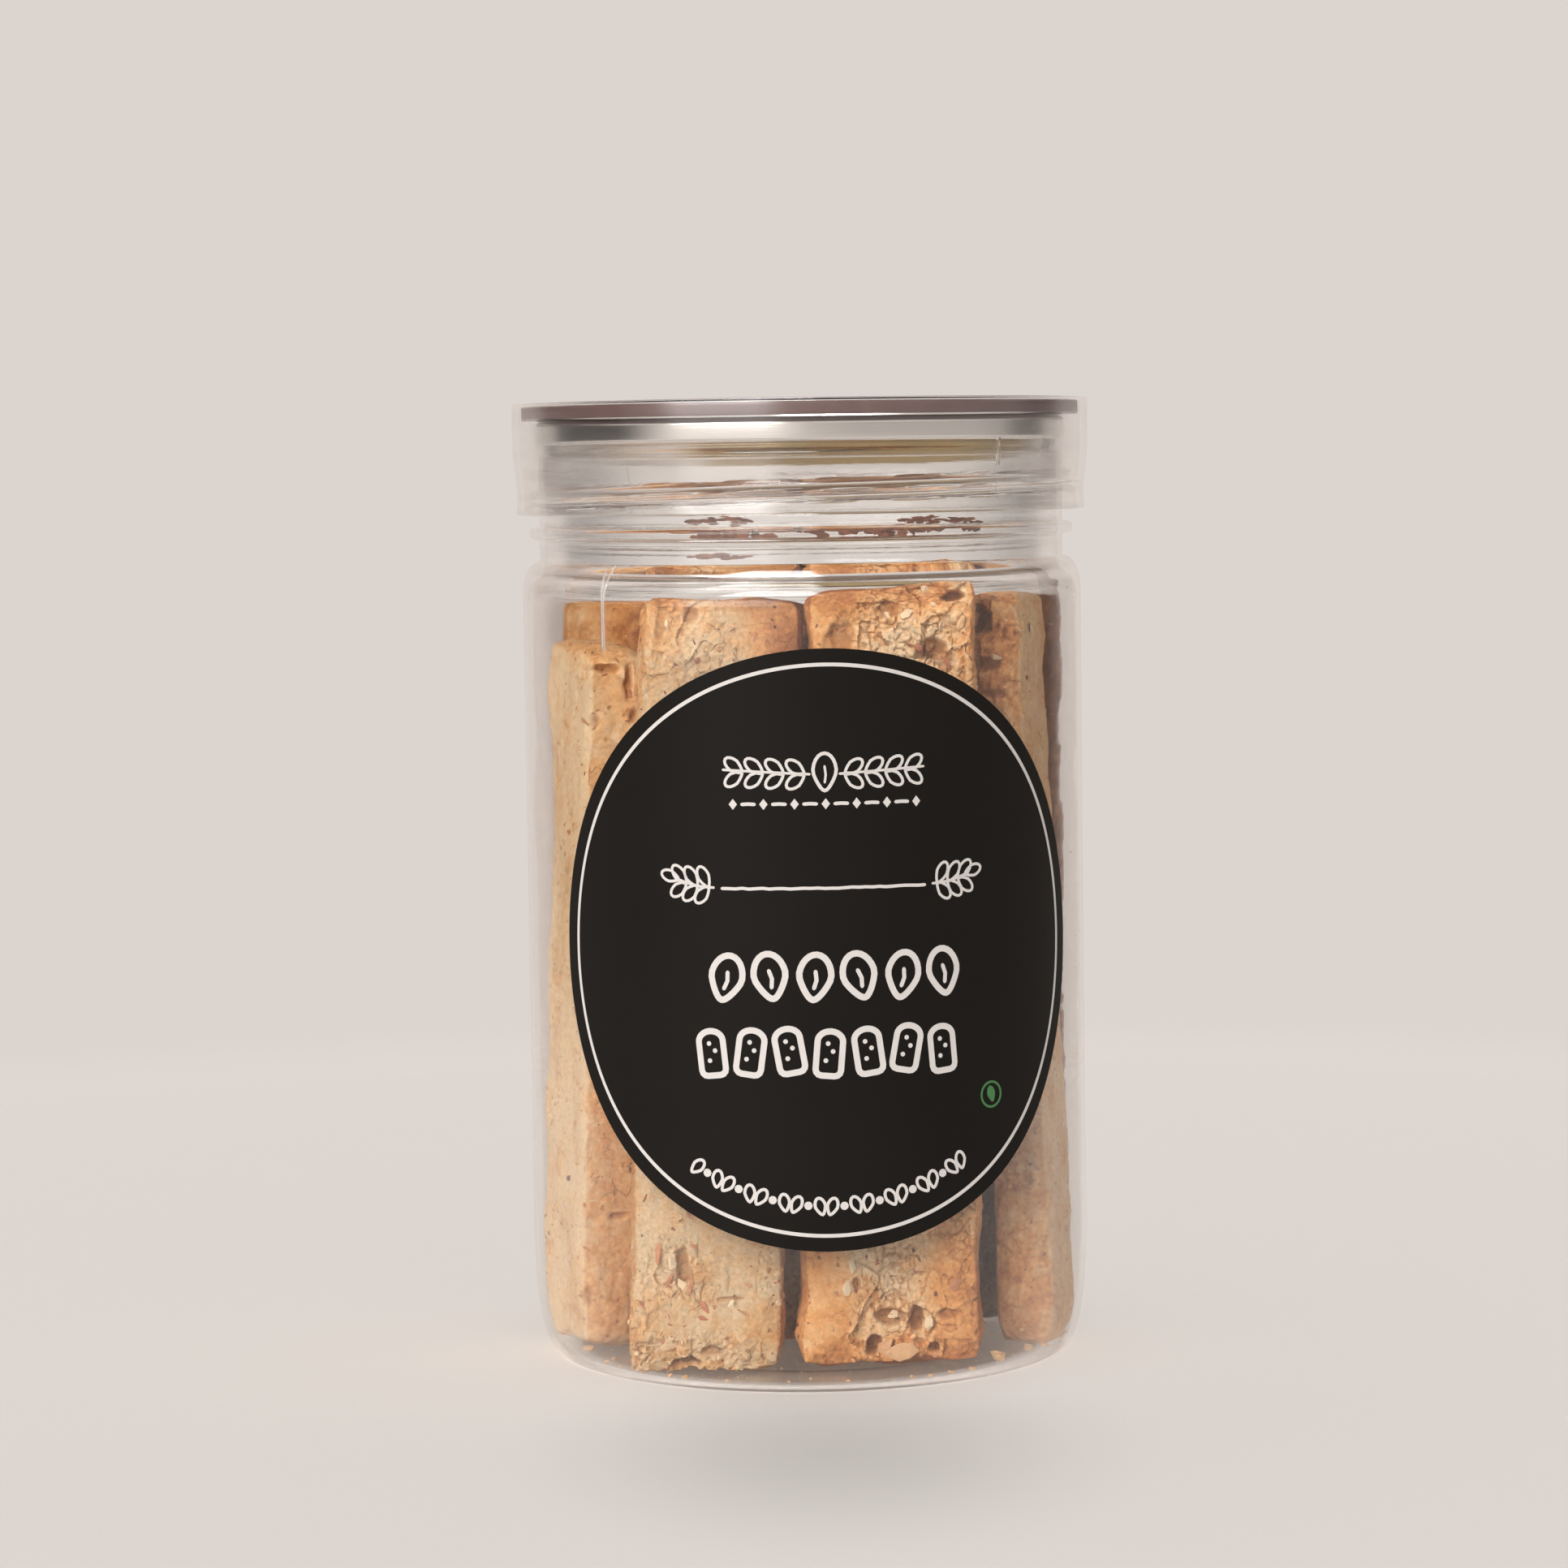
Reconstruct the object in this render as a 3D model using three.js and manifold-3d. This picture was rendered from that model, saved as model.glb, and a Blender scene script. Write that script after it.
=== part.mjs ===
// A shut, clear jar of almond biscotti: a blow-moulded jar closed by a seamed
// metal end, a clear screw lid with a sealing ring over it, a round label on the
// front, and twelve biscotti standing inside. Millimetres, +Z up, the front of
// the label towards -Y, origin at the middle of the foot ring on the ground.

import * as THREE from "three";
import { mergeVertices } from "three/addons/utils/BufferGeometryUtils.js";
import { ImprovedNoise } from "three/addons/math/ImprovedNoise.js";
import Module from "manifold-3d";

const wasm = await Module();
wasm.setup();

// Round pieces: all share one number of sides, so their facets line up.
const SIDES = 40;

// Jar body.
const BODY_R = 42.65;
const BODY_WALL = 0.6;
const FLOOR_WALL = 0.8;
const HEEL_TOP = 20.5;
const FOOT_R = 38.2;
const FOOT_INNER_R = 35.0;
const FLOOR_RISE = 0.5;
const FLOOR_FLAT_R = 31.0;
const SHOULDER_START = 116.6;
const SHOULDER_TOP = 121.2;
const SHOULDER_DROP = 1.3;

// Jar neck, of the 83 mm size.
const NECK_R = 39.95;
const NECK_WALL = 0.9;
const BEAD_R = 41.5;
const BEAD_Z = 125.5;
const BEAD_HALF = 0.85;
const BEAD_FLANK = 0.35;
const BEAD_FILLET = 0.15;
const NECK_IN = 137.2;
const NECK_STEP = 1.0;
const INNER_DROP = 0.4;
const RIM_R = 39.0;
const RIM_WALL = 0.85;
const RIM_TOP = 141.3;

// Screw threads of neck and lid, each one ridge of diamond section.
const THREAD_PITCH = 5.0;
const THREAD_FRONT_Z = 132.6;
const THREAD_HALF_HEIGHT = 0.75;
const THREAD_STEPS_PER_TURN = 32;
const NECK_THREAD = { radius: 40.3, depth: 1.05, from: -180, to: 190, drop: 0 };
const LID_THREAD = { radius: 41.95, depth: 1.0, from: -75, to: 265, drop: 1.75 };

// Metal end, seamed over the jar's rim.
const SEAM_R = 40.4;
const SEAM_TOP = 142.3;
const SEAM_BOTTOM = 138.8;
const SEAM_GAP = 0.35;
const SEAM_FOLD = 0.4;
const CHUCK_R = 37.4;
const CHUCK_TAPER = 1.4;
const COUNTERSINK_R = 34.3;
const COUNTERSINK_Z = 137.85;
const PANEL_R = 33.0;
const PANEL_Z = 139.4;
const METAL_THICK = 0.45;

// Lid.
const LID_TOP = 145.1;
const LID_BOTTOM = 128.3;
const LID_R = 43.9;
const LID_WAIST_R = 43.15;
const LID_LIP_R = 43.35;
const LID_LIP_TOP = 129.4;
const LID_WAIST_Z = 130.6;
const LID_FLARE_Z = 137.4;
const LID_CORNER = 1.0;
const LID_WALL = 1.15;
const LID_PLATE = 0.8;

// Sealing ring, held under the lid's top.
const RING_OUTER_R = 42.0;
const RING_INNER_R = 38.2;
const RING_BOTTOM = 142.65;
const RING_TOP = 144.0;

// Label: a disc of paper bent round the body.
const LABEL_HALF_WIDTH = 44.3;
const LABEL_HALF_HEIGHT = 43.8;
const LABEL_Z = 65.3;
const LABEL_TURN = 4.2;
const LABEL_GAP = 0.3;
const LABEL_THICK = 0.25;
const LABEL_SIDES = 60;
const LABEL_POINTS = 44;

// Biscotti: slices of a baked log, with rounded edges and a coarse crumb.
const EDGE_ROUND = new THREE.Vector3(2.2, 1.8, 3.2);
const FRONT_CELLS = [6, 3, 16];
const OTHER_CELLS = [5, 3, 11];
const FRONT_COUNT = 4;
const CRAG_DEPTH = 0.8;
const CRAG_SIZE = 9.0;
const CRUMB_DEPTH = 0.45;
const CRUMB_SIZE = 3.6;
const END_REACH = 12.0;
const END_CROWN = 0.8;
const END_ROUGHNESS = 0.8;
const WALL_CLEARANCE = 0.35;

// size: across the cut face, through the slice, along it; at: the middle in
// plan; foot: the lowest point; turn: how far the cut face is turned from the
// front, and lean: how far the top leans to +X, both in degrees; flare: how much
// wider the top is than the middle; ends: how much the left and the right corner
// of the top and of the foot stand out.
const BISCOTTI = [
  { name: "biscotto_front_left", size: [23.3, 10.8, 116.8], at: [-13.8, -25.9], foot: 1.8,
    turn: 0, lean: 1.9, flare: 0.03, ends: { top: [-1.2, -0.4], foot: [0.0, -1.8] } },
  { name: "biscotto_front_right", size: [25.4, 10.8, 116.6], at: [12.3, -26.0], foot: 1.8,
    turn: 0, lean: 0.6, flare: -0.035, ends: { top: [-1.2, 1.4], foot: [0.4, -0.4] } },
  { name: "biscotto_left", size: [22.0, 10.6, 105.4], at: [-32.0, -3.4], foot: 1.8,
    turn: -70.5, lean: 1.5, flare: 0, ends: { top: [0.3, -0.5], foot: [0.6, 0.2] } },
  { name: "biscotto_right", size: [22.0, 9.0, 117.0], at: [32.4, -7.0], foot: 1.8,
    turn: 77.7, lean: -2.2, flare: 0, ends: { top: [-0.6, -1.2], foot: [0.2, 0.4] } },
  { name: "biscotto_back_left", size: [22.4, 10.8, 116.6], at: [-26.6, 13.6], foot: 1.9,
    turn: -16.0, lean: 0, flare: 0, ends: { top: [-0.4, 0.6], foot: [0.4, -0.8] } },
  { name: "biscotto_back_right", size: [22.4, 10.8, 116.4], at: [28.6, 10.7], foot: 1.9,
    turn: 12.0, lean: 0, flare: 0, ends: { top: [0.8, -0.8], foot: [-0.4, 0.6] } },
  { name: "biscotto_rear_left", size: [22.6, 10.4, 118.6], at: [-11.4, 29.2], foot: 1.8,
    turn: 182.3, lean: 0.8, flare: 0, ends: { top: [-1.4, 0.6], foot: [-0.6, 0.5] } },
  { name: "biscotto_rear_right", size: [22.4, 10.6, 117.4], at: [13.0, 28.0], foot: 1.9,
    turn: 184.1, lean: -0.6, flare: 0, ends: { top: [0.4, -1.0], foot: [0.4, -1.0] } },
  { name: "biscotto_inner_right", size: [20.4, 10.6, 113.0], at: [16.4, -9.5], foot: 1.8,
    turn: 258.0, lean: 0, flare: 0, ends: { top: [0.6, -0.8], foot: [-0.6, 0.6] } },
  { name: "biscotto_inner_left", size: [22.0, 10.4, 114.0], at: [-10.3, -11.7], foot: 1.8,
    turn: 11.2, lean: 0, flare: 0, ends: { top: [-1.2, 0.4], foot: [0.6, -0.6] } },
  { name: "biscotto_middle_right", size: [22.2, 10.2, 112.2], at: [5.8, 5.0], foot: 1.8,
    turn: 89.4, lean: 0, flare: 0, ends: { top: [0.5, -1.5], foot: [0.4, -0.4] } },
  { name: "biscotto_middle_left", size: [22.4, 10.4, 113.6], at: [-8.0, 8.2], foot: 1.8,
    turn: 79.2, lean: 0, flare: 0, ends: { top: [-1.0, 0.8], foot: [-0.5, 0.5] } },
];

const MATERIALS = {
  clear_plastic: new THREE.MeshStandardMaterial({
    color: 0xe6e2dd, roughness: 0.06, metalness: 0, transparent: true, opacity: 0.3 }),
  bright_metal: new THREE.MeshStandardMaterial({ color: 0xc4c4c2, roughness: 0.28, metalness: 1 }),
  ring_plastic: new THREE.MeshStandardMaterial({ color: 0x6b5552, roughness: 0.35, metalness: 0 }),
  label_black: new THREE.MeshStandardMaterial({ color: 0x262320, roughness: 0.5, metalness: 0 }),
  baked_dough: new THREE.MeshStandardMaterial({ color: 0xdfb683, roughness: 0.9, metalness: 0 }),
};

// ---- Shared helpers --------------------------------------------------------

const point = (r, z) => new THREE.Vector2(r, z);

// Corner points of a quarter-round from one end to the other.
function roundCorner(centreR, centreZ, radiusR, radiusZ, fromDegrees, toDegrees, steps) {
  const points = [];
  for (let i = 0; i <= steps; i += 1) {
    const angle = THREE.MathUtils.degToRad(fromDegrees + ((toDegrees - fromDegrees) * i) / steps);
    points.push(point(centreR + radiusR * Math.cos(angle), centreZ + radiusZ * Math.sin(angle)));
  }
  return points;
}

function lathe(profile) {
  const geometry = new THREE.LatheGeometry(profile, SIDES);
  geometry.rotateX(Math.PI / 2);
  return geometry;
}

function toSolid(geometry) {
  const bare = geometry.clone();
  for (const name of ["normal", "uv"]) bare.deleteAttribute(name);
  const merged = mergeVertices(bare, 1e-4);
  const mesh = new wasm.Mesh({
    numProp: 3,
    vertProperties: new Float32Array(merged.attributes.position.array),
    triVerts: new Uint32Array(merged.index.array),
  });
  return new wasm.Manifold(mesh);
}

function fromSolid(solid) {
  const mesh = solid.getMesh();
  const geometry = new THREE.BufferGeometry();
  geometry.setAttribute("position", new THREE.BufferAttribute(mesh.vertProperties, 3));
  geometry.setIndex(new THREE.BufferAttribute(mesh.triVerts, 1));
  return geometry;
}

function addPiece(group, name, geometry, material) {
  const flat = geometry.index ? geometry.toNonIndexed() : geometry;
  flat.computeVertexNormals();
  const mesh = new THREE.Mesh(flat, material);
  mesh.name = name;
  group.add(mesh);
  return mesh;
}

// ---- Screw threads ---------------------------------------------------------

class Helix extends THREE.Curve {
  constructor({ radius, from, to, drop }) {
    super();
    Object.assign(this, { radius, from, to, drop });
  }

  // Degrees are counted from the front, and rise anticlockwise seen from above.
  getPoint(t) {
    const degrees = this.from + (this.to - this.from) * t;
    const angle = THREE.MathUtils.degToRad(degrees - 90);
    const z = THREAD_FRONT_Z - this.drop + (THREAD_PITCH * degrees) / 360;
    return new THREE.Vector3(this.radius * Math.cos(angle), this.radius * Math.sin(angle), z);
  }
}

function threadRidge(thread) {
  const section = new THREE.Shape([
    point(thread.depth, 0),
    point(0, THREAD_HALF_HEIGHT),
    point(-thread.depth, 0),
    point(0, -THREAD_HALF_HEIGHT),
  ]);
  const helix = new Helix(thread);
  const turns = (thread.to - thread.from) / 360;
  const steps = Math.round(turns * THREAD_STEPS_PER_TURN);
  return new THREE.ExtrudeGeometry(section, { steps, extrudePath: helix, bevelEnabled: false });
}

// ---- Jar -------------------------------------------------------------------

// The heel curves in from the body to the foot ring on a squarish quarter-round.
function heelCurve(bodyR, footR, top, bottom, steps) {
  const points = [];
  for (let i = 0; i <= steps; i += 1) {
    const angle = (Math.PI / 2) * (i / steps);
    const r = footR + (bodyR - footR) * Math.cos(angle) ** 0.7;
    const z = bottom + (top - bottom) * (1 - Math.sin(angle) ** 0.87);
    points.push(point(r, z));
  }
  return points.reverse();
}

function jarGeometry() {
  const innerR = BODY_R - BODY_WALL;
  const neckInnerR = NECK_R - NECK_WALL;
  const shoulderRound = BODY_R - NECK_R;
  const outside = [
    point(0, FLOOR_RISE),
    point(FLOOR_FLAT_R, FLOOR_RISE),
    point(FOOT_INNER_R, 0),
    ...heelCurve(BODY_R, FOOT_R, HEEL_TOP, 0, 7),
    ...roundCorner(NECK_R, SHOULDER_START, shoulderRound, SHOULDER_TOP - SHOULDER_START, 0, 90, 4),
    point(NECK_R, BEAD_Z - BEAD_HALF - BEAD_FILLET),
    point(BEAD_R - BEAD_FLANK, BEAD_Z - BEAD_HALF),
    point(BEAD_R, BEAD_Z),
    point(BEAD_R - BEAD_FLANK, BEAD_Z + BEAD_HALF),
    point(NECK_R, BEAD_Z + BEAD_HALF + BEAD_FILLET),
    point(NECK_R, NECK_IN),
    point(RIM_R, NECK_IN + NECK_STEP),
    point(RIM_R, RIM_TOP),
  ];
  const inside = [
    point(RIM_R - RIM_WALL, RIM_TOP),
    point(RIM_R - RIM_WALL, NECK_IN + NECK_STEP - INNER_DROP),
    point(neckInnerR, NECK_IN - INNER_DROP),
    point(neckInnerR, SHOULDER_TOP - SHOULDER_DROP),
    ...roundCorner(
      neckInnerR, SHOULDER_START - SHOULDER_DROP,
      innerR - neckInnerR, SHOULDER_TOP - SHOULDER_START - INNER_DROP, 75, 0, 3),
    ...heelCurve(innerR, FOOT_R - BODY_WALL, HEEL_TOP, FLOOR_WALL, 6).reverse(),
    point(FOOT_INNER_R, FLOOR_WALL),
    point(FLOOR_FLAT_R, FLOOR_RISE + FLOOR_WALL),
    point(0, FLOOR_RISE + FLOOR_WALL),
  ];
  const shell = toSolid(lathe([...outside, ...inside]));
  return fromSolid(shell.add(toSolid(threadRidge(NECK_THREAD))));
}

// ---- Metal end -------------------------------------------------------------

// The seam is a folded hook: the jar's rim stands in its groove from below.
function metalEndGeometry() {
  const grooveOuter = RIM_R + SEAM_GAP;
  const grooveInner = RIM_R - RIM_WALL - SEAM_GAP;
  const grooveTop = RIM_TOP + SEAM_GAP;
  const profile = [
    point(0, PANEL_Z - METAL_THICK),
    point(PANEL_R - METAL_THICK, PANEL_Z - METAL_THICK),
    point(COUNTERSINK_R - METAL_THICK, COUNTERSINK_Z - METAL_THICK),
    point(CHUCK_R - CHUCK_TAPER + METAL_THICK, COUNTERSINK_Z - METAL_THICK),
    point(grooveInner, PANEL_Z + CHUCK_TAPER),
    point(grooveInner, grooveTop),
    point(grooveOuter, grooveTop),
    point(grooveOuter, SEAM_BOTTOM),
    point(SEAM_R - SEAM_FOLD, SEAM_BOTTOM),
    point(SEAM_R, SEAM_BOTTOM + SEAM_FOLD),
    point(SEAM_R, SEAM_TOP - SEAM_FOLD),
    point(SEAM_R - SEAM_FOLD, SEAM_TOP),
    point(CHUCK_R, SEAM_TOP),
    point(CHUCK_R - SEAM_FOLD, SEAM_TOP - SEAM_FOLD),
    point(CHUCK_R - CHUCK_TAPER, COUNTERSINK_Z),
    point(COUNTERSINK_R, COUNTERSINK_Z),
    point(PANEL_R, PANEL_Z),
    point(0, PANEL_Z),
  ];
  return lathe(profile);
}

// ---- Lid -------------------------------------------------------------------

function lidGeometry() {
  const innerR = LID_R - LID_WALL;
  const plateUnderside = LID_TOP - LID_PLATE;
  const profile = [
    point(0, plateUnderside),
    point(innerR - LID_CORNER / 2, plateUnderside),
    point(innerR, plateUnderside - LID_CORNER / 2),
    point(innerR, LID_FLARE_Z),
    point(LID_WAIST_R - LID_WALL, LID_WAIST_Z),
    point(LID_LIP_R - LID_WALL, LID_BOTTOM),
    point(LID_LIP_R, LID_BOTTOM),
    point(LID_LIP_R, LID_LIP_TOP),
    point(LID_WAIST_R, LID_WAIST_Z),
    point(LID_R, LID_FLARE_Z),
    ...roundCorner(LID_R - LID_CORNER, LID_TOP - LID_CORNER, LID_CORNER, LID_CORNER, 0, 90, 3),
    point(0, LID_TOP),
  ];
  return fromSolid(toSolid(lathe(profile)).add(toSolid(threadRidge(LID_THREAD))));
}

function sealingRingGeometry() {
  return lathe([
    point(RING_INNER_R, RING_BOTTOM),
    point(RING_OUTER_R, RING_BOTTOM),
    point(RING_OUTER_R, RING_TOP),
    point(RING_INNER_R, RING_TOP),
    point(RING_INNER_R, RING_BOTTOM),
  ]);
}

// ---- Label -----------------------------------------------------------------

// A thin sleeve round the body, cut by the label's round outline: along the
// sleeve the outline is an ellipse, seen from the front it is narrower.
function labelGeometry() {
  const inner = BODY_R + LABEL_GAP;
  const outer = inner + LABEL_THICK;
  const reach = LABEL_HALF_HEIGHT + 2;
  const sleeve = new THREE.LatheGeometry([
    point(inner, LABEL_Z - reach),
    point(outer, LABEL_Z - reach),
    point(outer, LABEL_Z + reach),
    point(inner, LABEL_Z + reach),
    point(inner, LABEL_Z - reach),
  ], LABEL_SIDES);
  sleeve.rotateX(Math.PI / 2);

  const outline = new THREE.Shape();
  for (let i = 0; i < LABEL_POINTS; i += 1) {
    const angle = (2 * Math.PI * i) / LABEL_POINTS;
    const alongSleeve = LABEL_HALF_WIDTH * Math.cos(angle);
    const x = outer * Math.sin(alongSleeve / outer);
    const z = LABEL_Z + LABEL_HALF_HEIGHT * Math.sin(angle);
    if (i === 0) outline.moveTo(x, z);
    else outline.lineTo(x, z);
  }
  outline.closePath();
  const cutter = new THREE.ExtrudeGeometry(outline, { depth: outer + 5, bevelEnabled: false });
  cutter.rotateX(Math.PI / 2);
  return fromSolid(toSolid(sleeve).intersect(toSolid(cutter)));
}

// ---- Biscotti --------------------------------------------------------------

const crumbNoise = new ImprovedNoise();

// Pulls grid lines towards the edges, so that rounded edges get more of them.
const towardsEdge = (s) => s * (1.25 - 0.25 * s * s);

// How far the surface stands out at a place: crags on top of a finer crumb.
function relief(place, grain) {
  const layer = (size, shift) => crumbNoise.noise(
    place.x / size + grain * 7.3 + shift, place.y / size + grain * 3.1, place.z / size + shift);
  return CRAG_DEPTH * layer(CRAG_SIZE, 0.37) + CRUMB_DEPTH * layer(CRUMB_SIZE, 11.9);
}

function biscottoGeometry({ size, flare, ends }, grain) {
  const cells = grain < FRONT_COUNT ? FRONT_CELLS : OTHER_CELLS;
  const half = new THREE.Vector3(...size).multiplyScalar(0.5);
  const core = half.clone().sub(EDGE_ROUND);
  const box = new THREE.BoxGeometry(2, 2, 2, ...cells);
  for (const name of ["normal", "uv"]) box.deleteAttribute(name);
  const geometry = mergeVertices(box, 1e-4);
  const position = geometry.attributes.position;
  for (let i = 0; i < position.count; i += 1) {
    const place = new THREE.Vector3().fromBufferAttribute(position, i);
    place.set(towardsEdge(place.x), towardsEdge(place.y), towardsEdge(place.z)).multiply(half);
    const nearest = place.clone().clamp(core.clone().negate(), core);
    const outward = place.clone().sub(nearest).divide(EDGE_ROUND).normalize();
    place.copy(nearest).add(outward.clone().multiply(EDGE_ROUND));
    const across = THREE.MathUtils.clamp(place.x / half.x, -1, 1);
    const fromEnd = half.z - Math.abs(place.z);
    const nearEnd = THREE.MathUtils.clamp(1 - fromEnd / END_REACH, 0, 1);
    const [left, right] = place.z > 0 ? ends.top : ends.foot;
    const standsOut = THREE.MathUtils.lerp(left, right, (across + 1) / 2) - END_CROWN * across ** 4;
    place.addScaledVector(outward, relief(place, grain) * (1 + END_ROUGHNESS * nearEnd));
    place.z += Math.sign(place.z) * standsOut * nearEnd;
    place.x *= 1 + (flare * place.z) / half.z;
    position.setXYZ(i, place.x, place.y, place.z);
  }
  return geometry;
}

// The room inside the jar, kept a little clear of its wall and floor.
function cavityGeometry() {
  const floorTop = FLOOR_RISE + FLOOR_WALL + WALL_CLEARANCE;
  const neckR = NECK_R - NECK_WALL - WALL_CLEARANCE;
  const bodyR = BODY_R - BODY_WALL - WALL_CLEARANCE;
  return lathe([
    point(0, floorTop),
    point(FLOOR_FLAT_R, floorTop),
    point(FOOT_INNER_R, FLOOR_WALL + WALL_CLEARANCE),
    ...heelCurve(bodyR, FOOT_R - BODY_WALL - WALL_CLEARANCE, HEEL_TOP, FLOOR_WALL + WALL_CLEARANCE, 6),
    ...roundCorner(
      neckR, SHOULDER_START - SHOULDER_DROP - WALL_CLEARANCE, bodyR - neckR,
      SHOULDER_TOP - SHOULDER_START - INNER_DROP, 0, 75, 3),
    point(neckR, SHOULDER_TOP - SHOULDER_DROP),
    point(neckR, NECK_IN - INNER_DROP),
    point(0, NECK_IN - INNER_DROP),
  ]);
}

const cavity = toSolid(cavityGeometry());

// The slice is turned where it stands, leans after that, and is worn down where
// it meets the rounded heel of the jar.
function addBiscotto(group, biscotto, grain) {
  const slice = biscottoGeometry(biscotto, grain);
  slice.rotateZ(THREE.MathUtils.degToRad(biscotto.turn));
  slice.rotateY(THREE.MathUtils.degToRad(biscotto.lean));
  slice.computeBoundingBox();
  const place = new THREE.Vector3(...biscotto.at, biscotto.foot - slice.boundingBox.min.z);
  slice.translate(...place);
  const worn = fromSolid(toSolid(slice).intersect(cavity));
  worn.translate(...place.clone().negate());
  addPiece(group, biscotto.name, worn, MATERIALS.baked_dough).position.copy(place);
}

// ---- Assembly --------------------------------------------------------------

const jarOfBiscotti = new THREE.Group();
addPiece(jarOfBiscotti, "jar", jarGeometry(), MATERIALS.clear_plastic);
addPiece(jarOfBiscotti, "metal_end", metalEndGeometry(), MATERIALS.bright_metal);
addPiece(jarOfBiscotti, "sealing_ring", sealingRingGeometry(), MATERIALS.ring_plastic);
addPiece(jarOfBiscotti, "lid", lidGeometry(), MATERIALS.clear_plastic);
const label = addPiece(jarOfBiscotti, "label", labelGeometry(), MATERIALS.label_black);
label.rotation.z = THREE.MathUtils.degToRad(LABEL_TURN);
BISCOTTI.forEach((biscotto, grain) => addBiscotto(jarOfBiscotti, biscotto, grain));

export default jarOfBiscotti;
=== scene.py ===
# A shut, clear jar of almond biscotti, dressed for its portrait.
#
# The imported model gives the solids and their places. This script follows the jar
# as it is filled and closed: studio, clear jar, biscotti, almond bits, loose
# crumbs, metal end, sealing ring, screw lid, round label and its print. Outlines
# are in millimetres, meshes in metres.

import itertools
import math
import random

import bmesh
import bpy
import numpy as np
from mathutils import Matrix, Quaternion, Vector, noise


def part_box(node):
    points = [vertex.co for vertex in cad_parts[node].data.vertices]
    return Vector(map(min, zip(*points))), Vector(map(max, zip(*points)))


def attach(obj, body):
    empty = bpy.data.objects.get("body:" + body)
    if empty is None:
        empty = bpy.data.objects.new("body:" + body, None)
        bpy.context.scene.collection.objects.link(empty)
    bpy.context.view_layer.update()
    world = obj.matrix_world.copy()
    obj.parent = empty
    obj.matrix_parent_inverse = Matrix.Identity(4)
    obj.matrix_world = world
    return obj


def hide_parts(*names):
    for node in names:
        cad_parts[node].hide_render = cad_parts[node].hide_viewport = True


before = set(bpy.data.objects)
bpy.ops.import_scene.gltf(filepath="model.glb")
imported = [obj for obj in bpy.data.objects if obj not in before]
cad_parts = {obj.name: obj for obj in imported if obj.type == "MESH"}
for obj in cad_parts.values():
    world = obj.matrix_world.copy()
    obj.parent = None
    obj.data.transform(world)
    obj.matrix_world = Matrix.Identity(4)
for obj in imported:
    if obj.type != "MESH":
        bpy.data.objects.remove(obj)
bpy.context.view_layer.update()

MM = 0.001
scene = bpy.context.scene

# ---- Studio -------------------------------------------------------------------
# A seamless pale sweep with an even wash of its own and the jar's soft shadow painted on it,
# a raised softbox at the front left, a soft top light behind the jar, and dark and pale panels round
# it that only show in gloss. The camera stands level with the lid, far off, and looks slightly down.

CAMERA_DISTANCE = 680.6
CAMERA_HEIGHT = 135.9
CAMERA_PITCH = 4.149
CAMERA_YAW = 0.263
CAMERA_ROLL = -0.81
CAMERA_LENS = 101.96
BACKDROP = (0.716, 0.658, 0.617)
FLOOR_ALBEDO = (0.751, 0.723, 0.694)
FLOOR_RADIUS = 0.6
FLOOR_FADE = (0.16, 0.42)
# A soft shadow of the jar, painted into the paper's colour: its middle and its reach in metres, the light
# left in it, the paper's painted shade under the jar, warmed as a painted reflection of the slices, and the
# distances between which that painted shade ends.
SHADOW_MIDDLE = (0.003, -0.076)
SHADOW_REACH = (0.048, 0.070)
SHADOW_SHADE = 0.77
PAINTED_SHADE_UNDER_JAR = (0.36, 0.30, 0.255)
PAINTED_SHADE_UNDER_JAR_EDGE = (0.0355, 0.0397)
# The unlit far side of the room, which only shows in gloss, between the table's edge and the
# lamps: azimuths in degrees from the front towards the right, and shades as parts of the backdrop.
ROOM_SHADES = [
    (-180, 1.0), (-136, 0.95), (-123, 0.16), (-78, 0.12), (-60, 0.9), (-50, 1.4), (-14, 1.5), (4, 0.8),
    (24, 0.66), (94, 0.62), (106, 0.26), (122, 0.26), (136, 0.95)]
ROOM_FOOT = (-0.135, -0.095)
ROOM_HEAD = (0.26, 0.14)
# The lamps as gloss shows them, with soft edges: azimuths in degrees, sines of elevation, and
# brightness, first of the key softbox and then of a small bright one overhead.
GLOWS = [
    (((-60, -45), (-4, -19)), ((0.05, 0.16), (0.62, 0.46)), 3.2),
    (((-48, -40), (12, 4)), ((0.74, 0.79), (0.97, 0.94)), 16.0)]
AMBIENT = 0.5
KEY_AZIMUTH = math.radians(-27)
KEY_DISTANCE = 1.5
KEY_MIDDLE = 0.72
KEY_SIZE = (0.92, 0.84)
KEY_POWER = 18.6
TOP_PLACE = (0.0, 0.3, 1.5)
TOP_SIZE = (1.0, 0.7)
TOP_POWER = 1.6
SWEEP_WASH = 1.86


def add_node(tree, kind, inputs=None, **settings):
    """Add a shader node: an input given as a socket is linked, anything else is its value."""
    made = tree.nodes.new(kind)
    for name, value in settings.items():
        setattr(made, name, value)
    for name, value in (inputs or {}).items():
        if isinstance(value, bpy.types.NodeSocket):
            tree.links.new(value, made.inputs[name])
        else:
            made.inputs[name].default_value = value
    return made


def calculate(tree, operation, *inputs):
    """The result of a sum on numbers."""
    return add_node(tree, "ShaderNodeMath", dict(enumerate(inputs)), operation=operation).outputs[0]


def calculate_vector(tree, operation, *inputs, output="Vector"):
    """The result of a sum on vectors or colours."""
    made = add_node(tree, "ShaderNodeVectorMath", dict(enumerate(inputs)), operation=operation)
    return made.outputs[output]


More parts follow.
